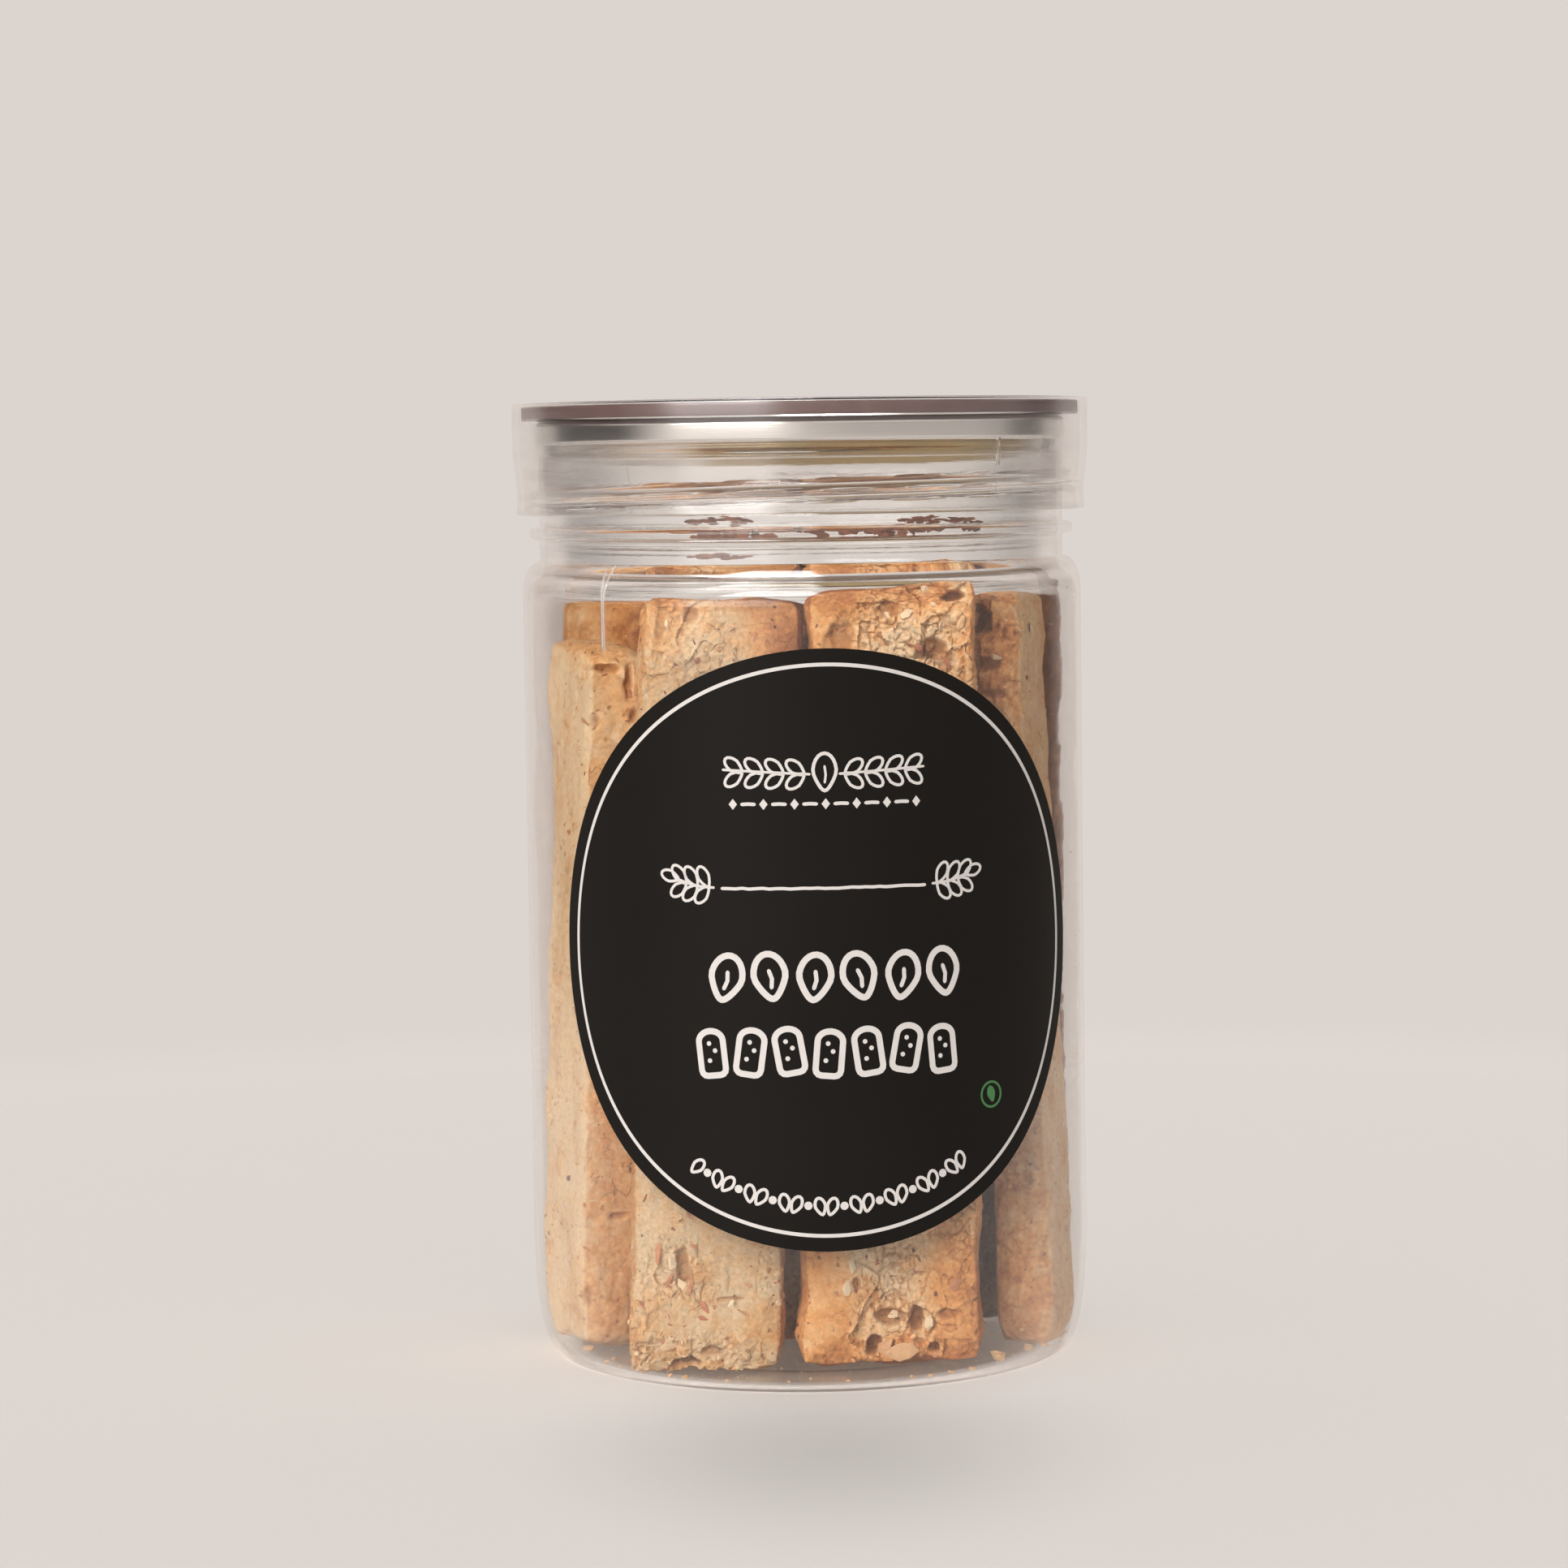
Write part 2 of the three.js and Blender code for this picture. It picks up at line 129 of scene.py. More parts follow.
def band(tree, value, low, high, to_low=0.0, to_high=1.0, easing="SMOOTHSTEP"):
    """Map a value between two limits, smoothly unless told otherwise."""
    return add_node(
        tree, "ShaderNodeMapRange",
        {"Value": value, "From Min": low, "From Max": high, "To Min": to_low, "To Max": to_high},
        interpolation_type=easing).outputs["Result"]


def toned(tree, value, tones):
    """Colour a value by a ramp of (position, colour)."""
    made = add_node(tree, "ShaderNodeValToRGB", {"Fac": value})
    while len(made.color_ramp.elements) < len(tones):
        made.color_ramp.elements.new(0.5)
    for element, (position, colour) in zip(made.color_ramp.elements, tones):
        element.position = position
        element.color = (*colour, 1)
    return made.outputs["Color"]


def blended(tree, share, first, second):
    """Mix two colours."""
    return add_node(tree, "ShaderNodeMix", {0: share, 6: first, 7: second}, data_type="RGBA").outputs[2]


def blended_shader(tree, share, first, second):
    """Mix two shaders."""
    return add_node(tree, "ShaderNodeMixShader", {"Fac": share, 1: first, 2: second}).outputs[0]


def new_paint(name):
    """A new material, its emptied node tree and its place on the object."""
    paint = bpy.data.materials.new(name)
    paint.use_nodes = True
    tree = paint.node_tree
    tree.nodes.clear()
    return paint, tree, add_node(tree, "ShaderNodeTexCoord").outputs["Object"]


def link_object(name, data):
    made = bpy.data.objects.new(name, data)
    scene.collection.objects.link(made)
    return made


def area_light(name, place, aim, size, power, colour):
    lamp = bpy.data.lights.new(name, "AREA")
    lamp.shape = "RECTANGLE"
    lamp.size, lamp.size_y = size
    lamp.energy = power
    lamp.color = colour
    made = link_object(name, lamp)
    made.location = place
    made.rotation_euler = (Vector(aim) - Vector(place)).to_track_quat("-Z", "Y").to_euler()
    return made


camera_data = bpy.data.cameras.new("camera")
camera_data.lens = CAMERA_LENS
camera_data.sensor_width = 36.0
camera_data.clip_start = 0.02
camera = link_object("camera", camera_data)
camera.matrix_world = (
    Matrix.Translation((0, -CAMERA_DISTANCE * MM, CAMERA_HEIGHT * MM))
    @ Matrix.Rotation(math.radians(CAMERA_YAW), 4, "Z")
    @ Matrix.Rotation(math.radians(90 - CAMERA_PITCH), 4, "X")
    @ Matrix.Rotation(math.radians(CAMERA_ROLL), 4, "Z")
)
scene.camera = camera
scene.view_settings.view_transform = "Standard"

room = bpy.data.worlds.new("room")
room.use_nodes = True
scene.world = room
sky = room.node_tree
sky.nodes.clear()
looking = add_node(sky, "ShaderNodeTexCoord").outputs["Generated"]
direction = add_node(sky, "ShaderNodeSeparateXYZ", {"Vector": looking}).outputs
azimuth = calculate(sky, "ARCTAN2", direction["X"], calculate(sky, "MULTIPLY", direction["Y"], -1.0))
shades = toned(
    sky, band(sky, azimuth, -math.pi, math.pi, easing="LINEAR"),
    [((degrees + 180) / 360, (shade, shade, shade)) for degrees, shade in ROOM_SHADES])
on_room = calculate(
    sky, "MULTIPLY", band(sky, direction["Z"], *ROOM_FOOT), band(sky, direction["Z"], *ROOM_HEAD))
shone = 0.0
for sides, levels, brightness in GLOWS:
    glow = brightness
    edges = [(azimuth, [math.radians(degrees) for degrees in side]) for side in sides]
    edges += [(direction["Z"], level) for level in levels]
    for value, limits in edges:
        glow = calculate(sky, "MULTIPLY", band(sky, value, *limits), glow)
    shone = calculate(sky, "ADD", glow, shone)
in_gloss = calculate_vector(sky, "MULTIPLY_ADD", BACKDROP, blended(sky, on_room, (1, 1, 1, 1), shades), shone)
plain, glossy, dim = [
    add_node(sky, "ShaderNodeBackground", {"Color": colour, "Strength": strength}).outputs[0]
    for colour, strength in (((*BACKDROP, 1), 1.0), (in_gloss, 1.0), ((*BACKDROP, 1), AMBIENT))]
rays = add_node(sky, "ShaderNodeLightPath").outputs
either = blended_shader(sky, rays["Is Glossy Ray"], plain, glossy)
lit = blended_shader(sky, rays["Is Diffuse Ray"], either, dim)
add_node(sky, "ShaderNodeOutputWorld", {"Surface": lit})

key_place = (KEY_DISTANCE * math.sin(KEY_AZIMUTH), -KEY_DISTANCE * math.cos(KEY_AZIMUTH), KEY_MIDDLE)
key_light = area_light("key_softbox", key_place, (0, 0, 0.09), KEY_SIZE, KEY_POWER, (1.0, 0.97, 0.93))
key_light.visible_glossy = False
key_light.visible_transmission = False
top_light = area_light("top_light", TOP_PLACE, (0, 0, 0.05), TOP_SIZE, TOP_POWER, (1.0, 0.98, 0.96))

sweep = bmesh.new()
bmesh.ops.create_circle(sweep, cap_ends=True, segments=96, radius=FLOOR_RADIUS)
sweep_mesh = bpy.data.meshes.new("floor")
sweep.to_mesh(sweep_mesh)
sweep.free()
floor = link_object("floor", sweep_mesh)
floor_paint, tree, place = new_paint("sweep_paper")
reach = calculate_vector(tree, "LENGTH", place, output="Value")
# The jar's shadow and the shade under the jar are painted into the paper's colour.
from_shadow = calculate_vector(
    tree, "MULTIPLY_ADD", place, (1 / SHADOW_REACH[0], 1 / SHADOW_REACH[1], 0),
    (-SHADOW_MIDDLE[0] / SHADOW_REACH[0], -SHADOW_MIDDLE[1] / SHADOW_REACH[1], 0))
shaded = band(tree, calculate_vector(tree, "LENGTH", from_shadow, output="Value"), 0, 1, SHADOW_SHADE, 1)
lit_share = blended(tree, band(tree, reach, *PAINTED_SHADE_UNDER_JAR_EDGE), (*PAINTED_SHADE_UNDER_JAR, 1), shaded)
paper = add_node(
    tree, "ShaderNodeBsdfDiffuse",
    {"Color": calculate_vector(tree, "MULTIPLY", FLOOR_ALBEDO, lit_share)}).outputs[0]
open_air = add_node(tree, "ShaderNodeBsdfTransparent").outputs[0]
faded = blended_shader(tree, band(tree, reach, *FLOOR_FADE, easing="SMOOTHERSTEP"), paper, open_air)
add_node(tree, "ShaderNodeOutputMaterial", {"Surface": faded})
floor.data.materials.append(floor_paint)

# The floor has a lamp of its own, an even wash from straight above. The others are flagged off it.
wash_lamp = bpy.data.lights.new("sweep_wash", "SUN")
wash_lamp.energy = SWEEP_WASH
wash_lamp.use_shadow = False
sweep_wash = link_object("sweep_wash", wash_lamp)
for lamps, state in (((key_light, top_light), "EXCLUDE"), ((sweep_wash,), "INCLUDE")):
    floor_only = bpy.data.collections.new("floor_" + state.lower())
    floor_only.objects.link(floor)
    floor_only.collection_objects[0].light_linking.link_state = state
    for lamp in lamps:
        lamp.light_linking.receiver_collection = floor_only

# ---- Jar ----------------------------------------------------------------------
# A wide-mouthed jar of clear PET, stretch-blown in a two-part mould: straight
# body, rounded heel, small shoulder, and a neck with a bead and one screw thread.
# The mould leaves a fine parting line and a slightly wavy wall.

BODY_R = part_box("jar")[1].x / MM
RIM_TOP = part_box("jar")[1].z / MM
BODY_WALL = 0.6
NECK_WALL = 0.9
FLOOR_WALL = 0.8
FLOOR_RISE = 0.5
FLOOR_FLAT_R = 31
FOOT_INNER_R = 35
HEEL_TOP = 20.5
FOOT_R = 38.2
SHOULDER_START = 116.6
SHOULDER_TOP = 121.2
SHOULDER_DROP = 1.6
NECK_R = 39.95
BEAD_R = 41.5
BEAD_Z = 125.5
RIM_R = 39.0
RIM_WALL = 0.85
THREAD_PITCH = 5.0
THREAD_FRONT_Z = 132.6
THREAD_STEP = 0.25
THREAD_RUNOUT = 18
NECK_THREAD = {"depth": 1.4, "half_height": 0.8, "from": -180, "to": 190, "drop": 0}
NECK_THREAD_RANGE = (127, 137.5)
JAR_STEPS = 192
SHARP_ANGLE = 50
# How far the blown wall wanders inwards, its finer unevenness, and the height where both are full.
WALL_WANDER = 0.05
WALL_UNEVEN = 0.012
WALL_EASE = 20
# The parting line's stretches: azimuth in degrees, and heights. It fades out over its taper.
JAR_SEAMS = [(-43.4, 108, 121), (136.6, 100, 122)]
SEAM_EDGE = (0.26 * MM, 0.08 * MM)
SEAM_TAPER = 1.5
THIN_EDGE = (0.988, 0.980, 0.973)
# Painted highlight: the white that the parting line is lit with.
PAINTED_SEAM_HIGHLIGHT_TONE = (0.9, 0.88, 0.86)
# Painted sheen: the pale tone laid over the plastic's edges for the bright room reflected there.
PAINTED_EDGE_SHEEN_TONE = (0.9, 0.86, 0.82)


def helix_ridge(bm, thread, inwards, low, high, wall):
    """Raise the wall of a turned piece along one turn or more of a screw thread."""
    start, end = thread["from"], thread["to"]
    for vert in bm.verts:
        radius = math.hypot(vert.co.x, vert.co.y)
        height = vert.co.z / MM
        if abs(radius / MM - wall(height)) > 0.05 or not low < height < high:
            continue
        degrees = math.degrees(math.atan2(vert.co.x, -vert.co.y))
        ridge = 0.0
        for turn in (-720, -360, 0, 360, 720):
            along = degrees + turn
            if not start <= along <= end:
                continue
            ridge_z = THREAD_FRONT_Z - thread["drop"] + THREAD_PITCH * along / 360
            off = abs(height - ridge_z) / thread["half_height"]
            taper = min(1.0, (along - start) / THREAD_RUNOUT, (end - along) / THREAD_RUNOUT)
            if off < 1:
                ridge = max(ridge, thread["depth"] * math.sqrt(taper) * (1 - off ** 2.4))
        if inwards:
            ridge = -ridge
        vert.co.xy *= (radius + ridge * MM) / radius


def turned(outline, steps=JAR_STEPS):
    """Spin an outline of (radius, height, corner rounding) in millimetres round the jar's axis."""
    bm = bmesh.new()
    row = [bm.verts.new((r * MM, 0, z * MM)) for r, z, _ in outline]
    for pair in zip(row, row[1:]):
        bm.edges.new(pair)
    for vert, (_, _, rounding) in zip(row, outline):
        if rounding:
            bmesh.ops.bevel(
                bm, geom=[vert], offset=rounding * MM, segments=4, profile=0.5,
                affect="VERTICES", material=-1)
    bmesh.ops.spin(
        bm, geom=bm.verts[:] + bm.edges[:], cent=(0, 0, 0), axis=(0, 0, 1), dvec=(0, 0, 0),
        angle=math.tau, steps=steps, use_merge=True, use_duplicate=False)
    bmesh.ops.remove_doubles(bm, verts=bm.verts[:], dist=0.001 * MM)
    bmesh.ops.recalc_face_normals(bm, faces=bm.faces[:])
    return bm


def finished_mesh(mesh, paint, slot, *nodes):
    """Make a mesh a piece of the jar that stands for these CAD nodes."""
    mesh.materials.append(paint)
    made = link_object(mesh.name, mesh)
    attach(made, "root")
    if nodes:
        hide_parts(*nodes)


def finished(name, bm, paint, slot, *nodes):
    """Turn a bmesh into such a piece, shaded smooth but for its sharp edges."""
    mesh = bpy.data.meshes.new(name)
    bm.to_mesh(mesh)
    bm.free()
    mesh.shade_smooth()
    mesh.set_sharp_from_angle(angle=math.radians(SHARP_ANGLE))
    finished_mesh(mesh, paint, slot, *nodes)


def arc(middle_r, middle_z, radius_r, radius_z, start, end, steps):
    """Points on a quarter of an ellipse, for a round stretch of an outline."""
    angles = [math.radians(start + (end - start) * i / steps) for i in range(steps + 1)]
    return [(middle_r + radius_r * math.cos(a), middle_z + radius_z * math.sin(a), 0) for a in angles]


def heel(body_r, foot_r, bottom, steps=22):
    """The squarish quarter-round from the body down to the foot ring."""
    angles = [math.pi / 2 * (1 - i / steps) for i in range(steps + 1)]
    return [
        (foot_r + (body_r - foot_r) * max(math.cos(a), 0) ** 0.7,
         bottom + (HEEL_TOP - bottom) * (1 - math.sin(a) ** 0.87), 0)
        for a in angles
    ]


def rise(radius, low, high, step):
    """Closely spaced points up a straight wall."""
    count = round((high - low) / step)
    return [(radius, low + (high - low) * i / count, 0) for i in range(count + 1)]


def grained(tree, place, scale, detail, roughness=0.5, output="Fac"):
    """A soft random pattern of this scale."""
    return add_node(
        tree, "ShaderNodeTexNoise",
        {"Vector": place, "Scale": scale, "Detail": detail, "Roughness": roughness}).outputs[output]


def stretched(tree, place, scales):
    """Places for a pattern drawn out along an axis."""
    return add_node(tree, "ShaderNodeMapping", {"Vector": place, "Scale": scales}).outputs[0]


def bumped(tree, height, strength, distance, **over):
    """The normal that this height gives the surface."""
    settings = {"Height": height, "Strength": strength, "Distance": distance, **over}
    return add_node(tree, "ShaderNodeBump", settings).outputs[0]


def clear_plastic(name, tint, seams, seam_highlight):
    """Clear PET: glass-like, with faint outlines and a pale sheen painted at its edges, with
    stretches (azimuth, low, high) of fine parting line, lit white by this much as a painted highlight."""
    paint, tree, place = new_paint(name)
    upright = add_node(tree, "ShaderNodeSeparateXYZ", {"Vector": place}).outputs["Z"]
    seam = 0.0
    for degrees, low, high in seams:
        angle = math.radians(degrees)
        # Distance from the upright plane through the axis, kept to the seam's own side.
        aside = calculate_vector(
            tree, "DOT_PRODUCT", place, (math.cos(angle), math.sin(angle), 0), output="Value")
        outward = calculate_vector(
            tree, "DOT_PRODUCT", place, (math.sin(angle), -math.cos(angle), 0), output="Value")
        line = band(tree, calculate(tree, "ABSOLUTE", aside), *SEAM_EDGE)
        for limit in (
                band(tree, upright, low * MM, (low + SEAM_TAPER) * MM, easing="LINEAR"),
                band(tree, upright, high * MM, (high - SEAM_TAPER) * MM, easing="LINEAR"),
                calculate(tree, "GREATER_THAN", outward, 0.03)):
            line = calculate(tree, "MULTIPLY", line, limit)
        seam = calculate(tree, "MAXIMUM", seam, line)
    streaks = grained(tree, stretched(tree, place, (90, 90, 900)), 1.0, 3.0)
    surface = bumped(tree, seam, 0.8, 0.12 * MM, Normal=bumped(tree, streaks, 0.06, 0.1 * MM))
    plastic = add_node(
        tree, "ShaderNodeBsdfPrincipled",
        {"Base Color": (*tint, 1), "Roughness": 0.03, "IOR": 1.57, "Transmission Weight": 1.0,
         "Normal": surface}).outputs[0]
    through, thin, seam_highlights, painted_edge_sheen = [
        add_node(tree, "ShaderNodeBsdf" + kind, {"Color": (*colour, 1)}).outputs[0]
        for kind, colour in (
            ("Transparent", [c * 0.97 for c in tint]), ("Transparent", THIN_EDGE), ("Diffuse", PAINTED_SEAM_HIGHLIGHT_TONE),
            ("Translucent", PAINTED_EDGE_SHEEN_TONE))]
    # Outlines are judged by the round wall only, so that shoulder and threads stay clear in front.
    radial = calculate_vector(tree, "NORMALIZE", calculate_vector(tree, "MULTIPLY", place, (1, 1, 0)))
    edge = add_node(tree, "ShaderNodeLayerWeight", {"Blend": 0.5, "Normal": radial}).outputs["Facing"]
    # A pale translucent layer at the edges is painted sheen, for the bright room reflected at grazing angles.
    edge_sheened = blended_shader(tree, band(tree, edge, 0.5, 1.0, 0.0, 0.08, easing="LINEAR"), plastic, painted_edge_sheen)
    # The parting line is whitened here as a painted highlight.
    seam_lit = blended_shader(tree, calculate(tree, "MULTIPLY", seam, seam_highlight), edge_sheened, seam_highlights)
    thinned = blended_shader(tree, band(tree, edge, 0.15, 0.82, 0.0, 0.84), seam_lit, thin)
    rays = add_node(tree, "ShaderNodeLightPath").outputs
    shadowed = blended_shader(tree, rays["Is Shadow Ray"], thinned, through)
    add_node(tree, "ShaderNodeOutputMaterial", {"Surface": shadowed})
    return paint


body_in = BODY_R - BODY_WALL
neck_in = NECK_R - NECK_WALL
floor_top = FLOOR_RISE + FLOOR_WALL
heel_in = heel(body_in, FOOT_R - BODY_WALL, FLOOR_WALL)
shoulder_high = SHOULDER_TOP - SHOULDER_START
shoulder_in = arc(
    neck_in, SHOULDER_START - SHOULDER_DROP, body_in - neck_in, shoulder_high - 0.4, 85, 0, 12)
jar_outline = [
    (0, FLOOR_RISE, 0), (FLOOR_FLAT_R, FLOOR_RISE, 0.8), (FOOT_INNER_R, 0, 0.8),
    *heel(BODY_R, FOOT_R, 0),
    *rise(BODY_R, HEEL_TOP + 4, SHOULDER_START - 4, 6.0),
    *arc(NECK_R, SHOULDER_START, BODY_R - NECK_R, shoulder_high, 0, 90, 12),
    (NECK_R, BEAD_Z - 1.0, 0.4), (BEAD_R - 0.2, BEAD_Z - 0.75, 0.3), (BEAD_R, BEAD_Z, 0.4),
    (BEAD_R - 0.2, BEAD_Z + 0.75, 0.3),
    *rise(NECK_R, BEAD_Z + 1.1, 137.2, THREAD_STEP),
    (RIM_R, 138.2, 0.4), (RIM_R, RIM_TOP, 0.2),
    (RIM_R - RIM_WALL, RIM_TOP, 0.2), (RIM_R - RIM_WALL, 137.9, 0.4), (neck_in, 136.8, 0.4),
    (neck_in, BEAD_Z + 1.4, 0.5), (neck_in + 0.35, BEAD_Z, 0.8), (neck_in, BEAD_Z - 1.4, 0.5),
    *shoulder_in,
    *rise(body_in, SHOULDER_START - 5, HEEL_TOP + 4, 6.0),
    *reversed(heel_in),
    (FOOT_INNER_R, FLOOR_WALL, 0.8), (FLOOR_FLAT_R, floor_top, 0.8), (0, floor_top, 0),
]
jar = turned(jar_outline)
helix_ridge(jar, NECK_THREAD, False, *NECK_THREAD_RANGE, lambda z: NECK_R)
for vert in jar.verts:
    radius = math.hypot(vert.co.x, vert.co.y)
    if radius > (FOOT_INNER_R + 1) * MM and vert.co.z < (SHOULDER_TOP + 0.8) * MM:
        wobble = noise.noise(Vector((vert.co.x * 40, vert.co.y * 40, vert.co.z * 22 + 5)))
        thickness = noise.noise(Vector((vert.co.x * 60, vert.co.y * 60, radius * 2000 + vert.co.z * 30)))
        ease = min(1.0, vert.co.z / (WALL_EASE * MM))
        vert.co.xy *= 1 - (WALL_WANDER * (0.5 + 0.5 * wobble) + WALL_UNEVEN * thickness) * ease * MM / radius
pet = clear_plastic("clear_pet", (1.0, 0.995, 0.99), JAR_SEAMS, 0.5)
finished("clear_jar", jar, pet, "clear_plastic", "jar")

# ---- Biscotti -----------------------------------------------------------------
# Slices of a twice-baked almond log, standing on end: pale, crumbly cut faces
# that break in flat chunks, and a smoother golden crust along edges and ends.

FRONT_SLICES = ("biscotto_front_left", "biscotto_front_right", "biscotto_left", "biscotto_right")
FINE_CELL = 0.42
COARSE_CELL = 0.75
# The label hides the front slices between these heights.
HIDDEN = (27, 99)
RELIEF_RANGE = (-3.2, 0.3)
DOUGH_LAYERS = ("bake_and_shade", "hollow_shade", "tone", "crumble")

slices = sorted(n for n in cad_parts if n.startswith("biscotto"))


def slice_frame(node):
    """Middle of a slice, and its directions across the cut face, out through the slice and along it."""
    corners = np.array([v.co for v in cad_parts[node].data.vertices])
    middle = (corners.min(0) + corners.max(0)) / 2
    _, spread = np.linalg.eigh(np.cov((corners - corners.mean(0)).T))
    through, _, along = spread.T
    along = along if along[2] > 0 else -along
    through = through if np.dot(through[:2], middle[:2]) > 0 else -through
    across = np.cross(along, through)
    return middle, np.array([across, through, along])


def even_copy(node, cell, passes):
    """The slice's solid as an even net of small faces, with its facets smoothed away."""
    bm = bmesh.new()
    bm.from_mesh(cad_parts[node].data)
    bmesh.ops.remove_doubles(bm, verts=bm.verts[:], dist=0.001 * MM)
    mesh = bpy.data.meshes.new("rough_slice")
    bm.to_mesh(mesh)
    rough = link_object("rough_slice", mesh)
    even = rough.modifiers.new("even", "REMESH")
    even.mode = "VOXEL"
    even.voxel_size = cell * MM
    evaluated = rough.evaluated_get(bpy.context.evaluated_depsgraph_get())
    bm.clear()
    bm.from_mesh(evaluated.to_mesh())
    bpy.data.objects.remove(rough)
    bpy.data.meshes.remove(mesh)
    for _ in range(passes):
        bmesh.ops.smooth_vert(
            bm, verts=bm.verts[:], factor=0.5, use_axis_x=True, use_axis_y=True, use_axis_z=True)
    bm.normal_update()
    if node in WORN_CORNERS:
        plain = {v for v in bm.verts if v.normal.y > 0.1 or HIDDEN[0] < v.co.z / MM < HIDDEN[1]}
        shown = [e for e in bm.edges if not plain.intersection(e.verts)]
        bmesh.ops.subdivide_edges(bm, edges=shown, cuts=1, use_grid_fill=True)
        bm.normal_update()
    return bm


def smoothstep(low, high, value):
    t = np.clip((value - low) / (high - low), 0, 1)
    return t * t * (3 - 2 * t)


def lattice(cells, salt):
    """Even random numbers from 0 to 1, one for each row of whole numbers."""
    mixed = (cells * (73856093, 19349663, 83492791)).sum(-1) + salt * 2654435761
    mixed = ((mixed ^ (mixed >> 13)) * 1274126177) & 0x7FFFFFFF
    mixed = ((mixed ^ (mixed >> 15)) * 2246822519) & 0x7FFFFFFF
    return (mixed ^ (mixed >> 16)) / 0x7FFFFFFF


def lumps(points, size, salt):
    """Smooth noise from -1 to 1 with lumps of this size."""
    scaled = points / size
    base = np.floor(scaled).astype(np.int64)
    t = scaled - base
    t = t * t * (3 - 2 * t)
    total = 0
    for corner in itertools.product((0, 1), repeat=3):
        weight = np.where(corner, t, 1 - t).prod(1)
        total = total + weight * lattice(base + np.array(corner), salt)
    return 2 * total - 1


def rough_lumps(points, size, salt, octaves):
    """Noise in which each finer layer is weaker than the one before."""
    layers = [0.55 ** i * lumps(points, size / 2.1 ** i, salt + i) for i in range(octaves)]
    return sum(layers)


def chunks(points, size, salt):
    """Split space in chunks: a random number for each, and the distance to the next chunk's border."""
    warp = np.stack([lumps(points, size * 0.7, salt + 50 + i) for i in range(3)], 1)
    scaled = points / size + 0.38 * warp
    base = np.floor(scaled).astype(np.int64)
    first = np.full(len(points), 9.0)
    second = first.copy()
    number = np.zeros(len(points))
    for shift in itertools.product((-1, 0, 1), repeat=3):
        cell = base + np.array(shift)
        centre = cell + np.stack([lattice(cell, salt + i) for i in range(3)], 1)
        away = np.linalg.norm(centre - scaled, axis=1)
        nearer = away < first
        second = np.where(nearer, first, np.minimum(second, away))
        number = np.where(nearer, lattice(cell, salt + 7), number)
        first = np.where(nearer, away, first)
    return number, second - first


def sum_up(tree, *terms):
    """Add up products of sockets and numbers."""
    total = calculate(tree, "MULTIPLY", *terms[0])
    for first, second in terms[1:]:
        total = calculate(tree, "MULTIPLY_ADD", first, second, total)
    return total


def dimmed(tree, colour, share):
    """A colour scaled to this share."""
    return add_node(tree, "ShaderNodeVectorMath", {0: colour, "Scale": share}, operation="SCALE").outputs[0]


def split(tree, colours):
    """The three random numbers that a cell's colour holds."""
    return add_node(tree, "ShaderNodeSeparateXYZ", {"Vector": colours}).outputs


def finish(tree, inputs):
    """Give a material this surface."""
    surface = add_node(tree, "ShaderNodeBsdfPrincipled", inputs)
    add_node(tree, "ShaderNodeOutputMaterial", {"Surface": surface.outputs[0]})


# The dough's colours run from pale crumb to dark crust. Each vertex has how far it is
# baked, how deep it lies in a hole, a tone of its own chunk and how crumbly it is; the bake,
# the hole and the tone also carry painted shade. Flakes, grains, cracks and pits too fine for the mesh
# are relief of the material, in millimetres, and cracks and pits are also painted darker as shade.
DOUGH_TONES = [
    (0.0, (0.80, 0.590, 0.370)), (0.3, (0.78, 0.472, 0.230)), (0.6, (0.70, 0.330, 0.118)),
    (1.0, (0.40, 0.14, 0.045))]
# Painted shade: the colours that cracks, pits and holes are darkened towards.
PAINTED_CRACK_SHADE = (0.42, 0.18, 0.07, 1)
PAINTED_PIT_SHADE = (0.38, 0.15, 0.06, 1)
PAINTED_HOLLOW_SHADE = (0.29, 0.125, 0.05, 1)
# How far the borders of flakes and grains wander, in millimetres.
RUFFLE = 1.1

dough, tree, place = new_paint("baked_dough")
bake_and_shade, hollow_shade, tone, crumbly = [
    add_node(tree, "ShaderNodeAttribute", attribute_name=name).outputs["Fac"] for name in DOUGH_LAYERS]
blotch = grained(tree, place, 170.0, 5.0, 0.6)
mealy = grained(tree, place, 1700.0, 4.0, 0.65)
ruffle = grained(tree, place, 900.0, 2.0, output="Color")
ruffled = calculate_vector(tree, "MULTIPLY_ADD", ruffle, (RUFFLE * MM,) * 3, place)
flake_cells, grain_cells = [
    add_node(tree, "ShaderNodeTexVoronoi", {"Vector": ruffled, "Scale": scale}).outputs
    for scale in (430.0, 1150.0)]
crack_cells = add_node(
    tree, "ShaderNodeTexVoronoi", {"Vector": ruffled, "Scale": 300.0}, feature="DISTANCE_TO_EDGE").outputs
flake = split(tree, flake_cells["Color"])["X"]
grains = split(tree, grain_cells["Color"])
cracked = calculate(
    tree, "MULTIPLY", band(tree, crack_cells["Distance"], 0.045, 0.0), band(tree, blotch, 0.54, 0.62))
pitted = calculate(
    tree, "MULTIPLY", band(tree, grains["Y"], 0.955, 0.975), band(tree, grain_cells["Distance"], 0.5, 0.2))
browned = sum_up(
    tree, (bake_and_shade, 1.0), (band(tree, blotch, 0.3, 0.7, -0.14, 0.14), 1.0),
    (calculate(tree, "SUBTRACT", 0.5, flake), calculate(tree, "MULTIPLY", crumbly, 0.34)),
    (band(tree, grains["X"], 0.0, 1.0, -0.08, 0.08), 1.0))
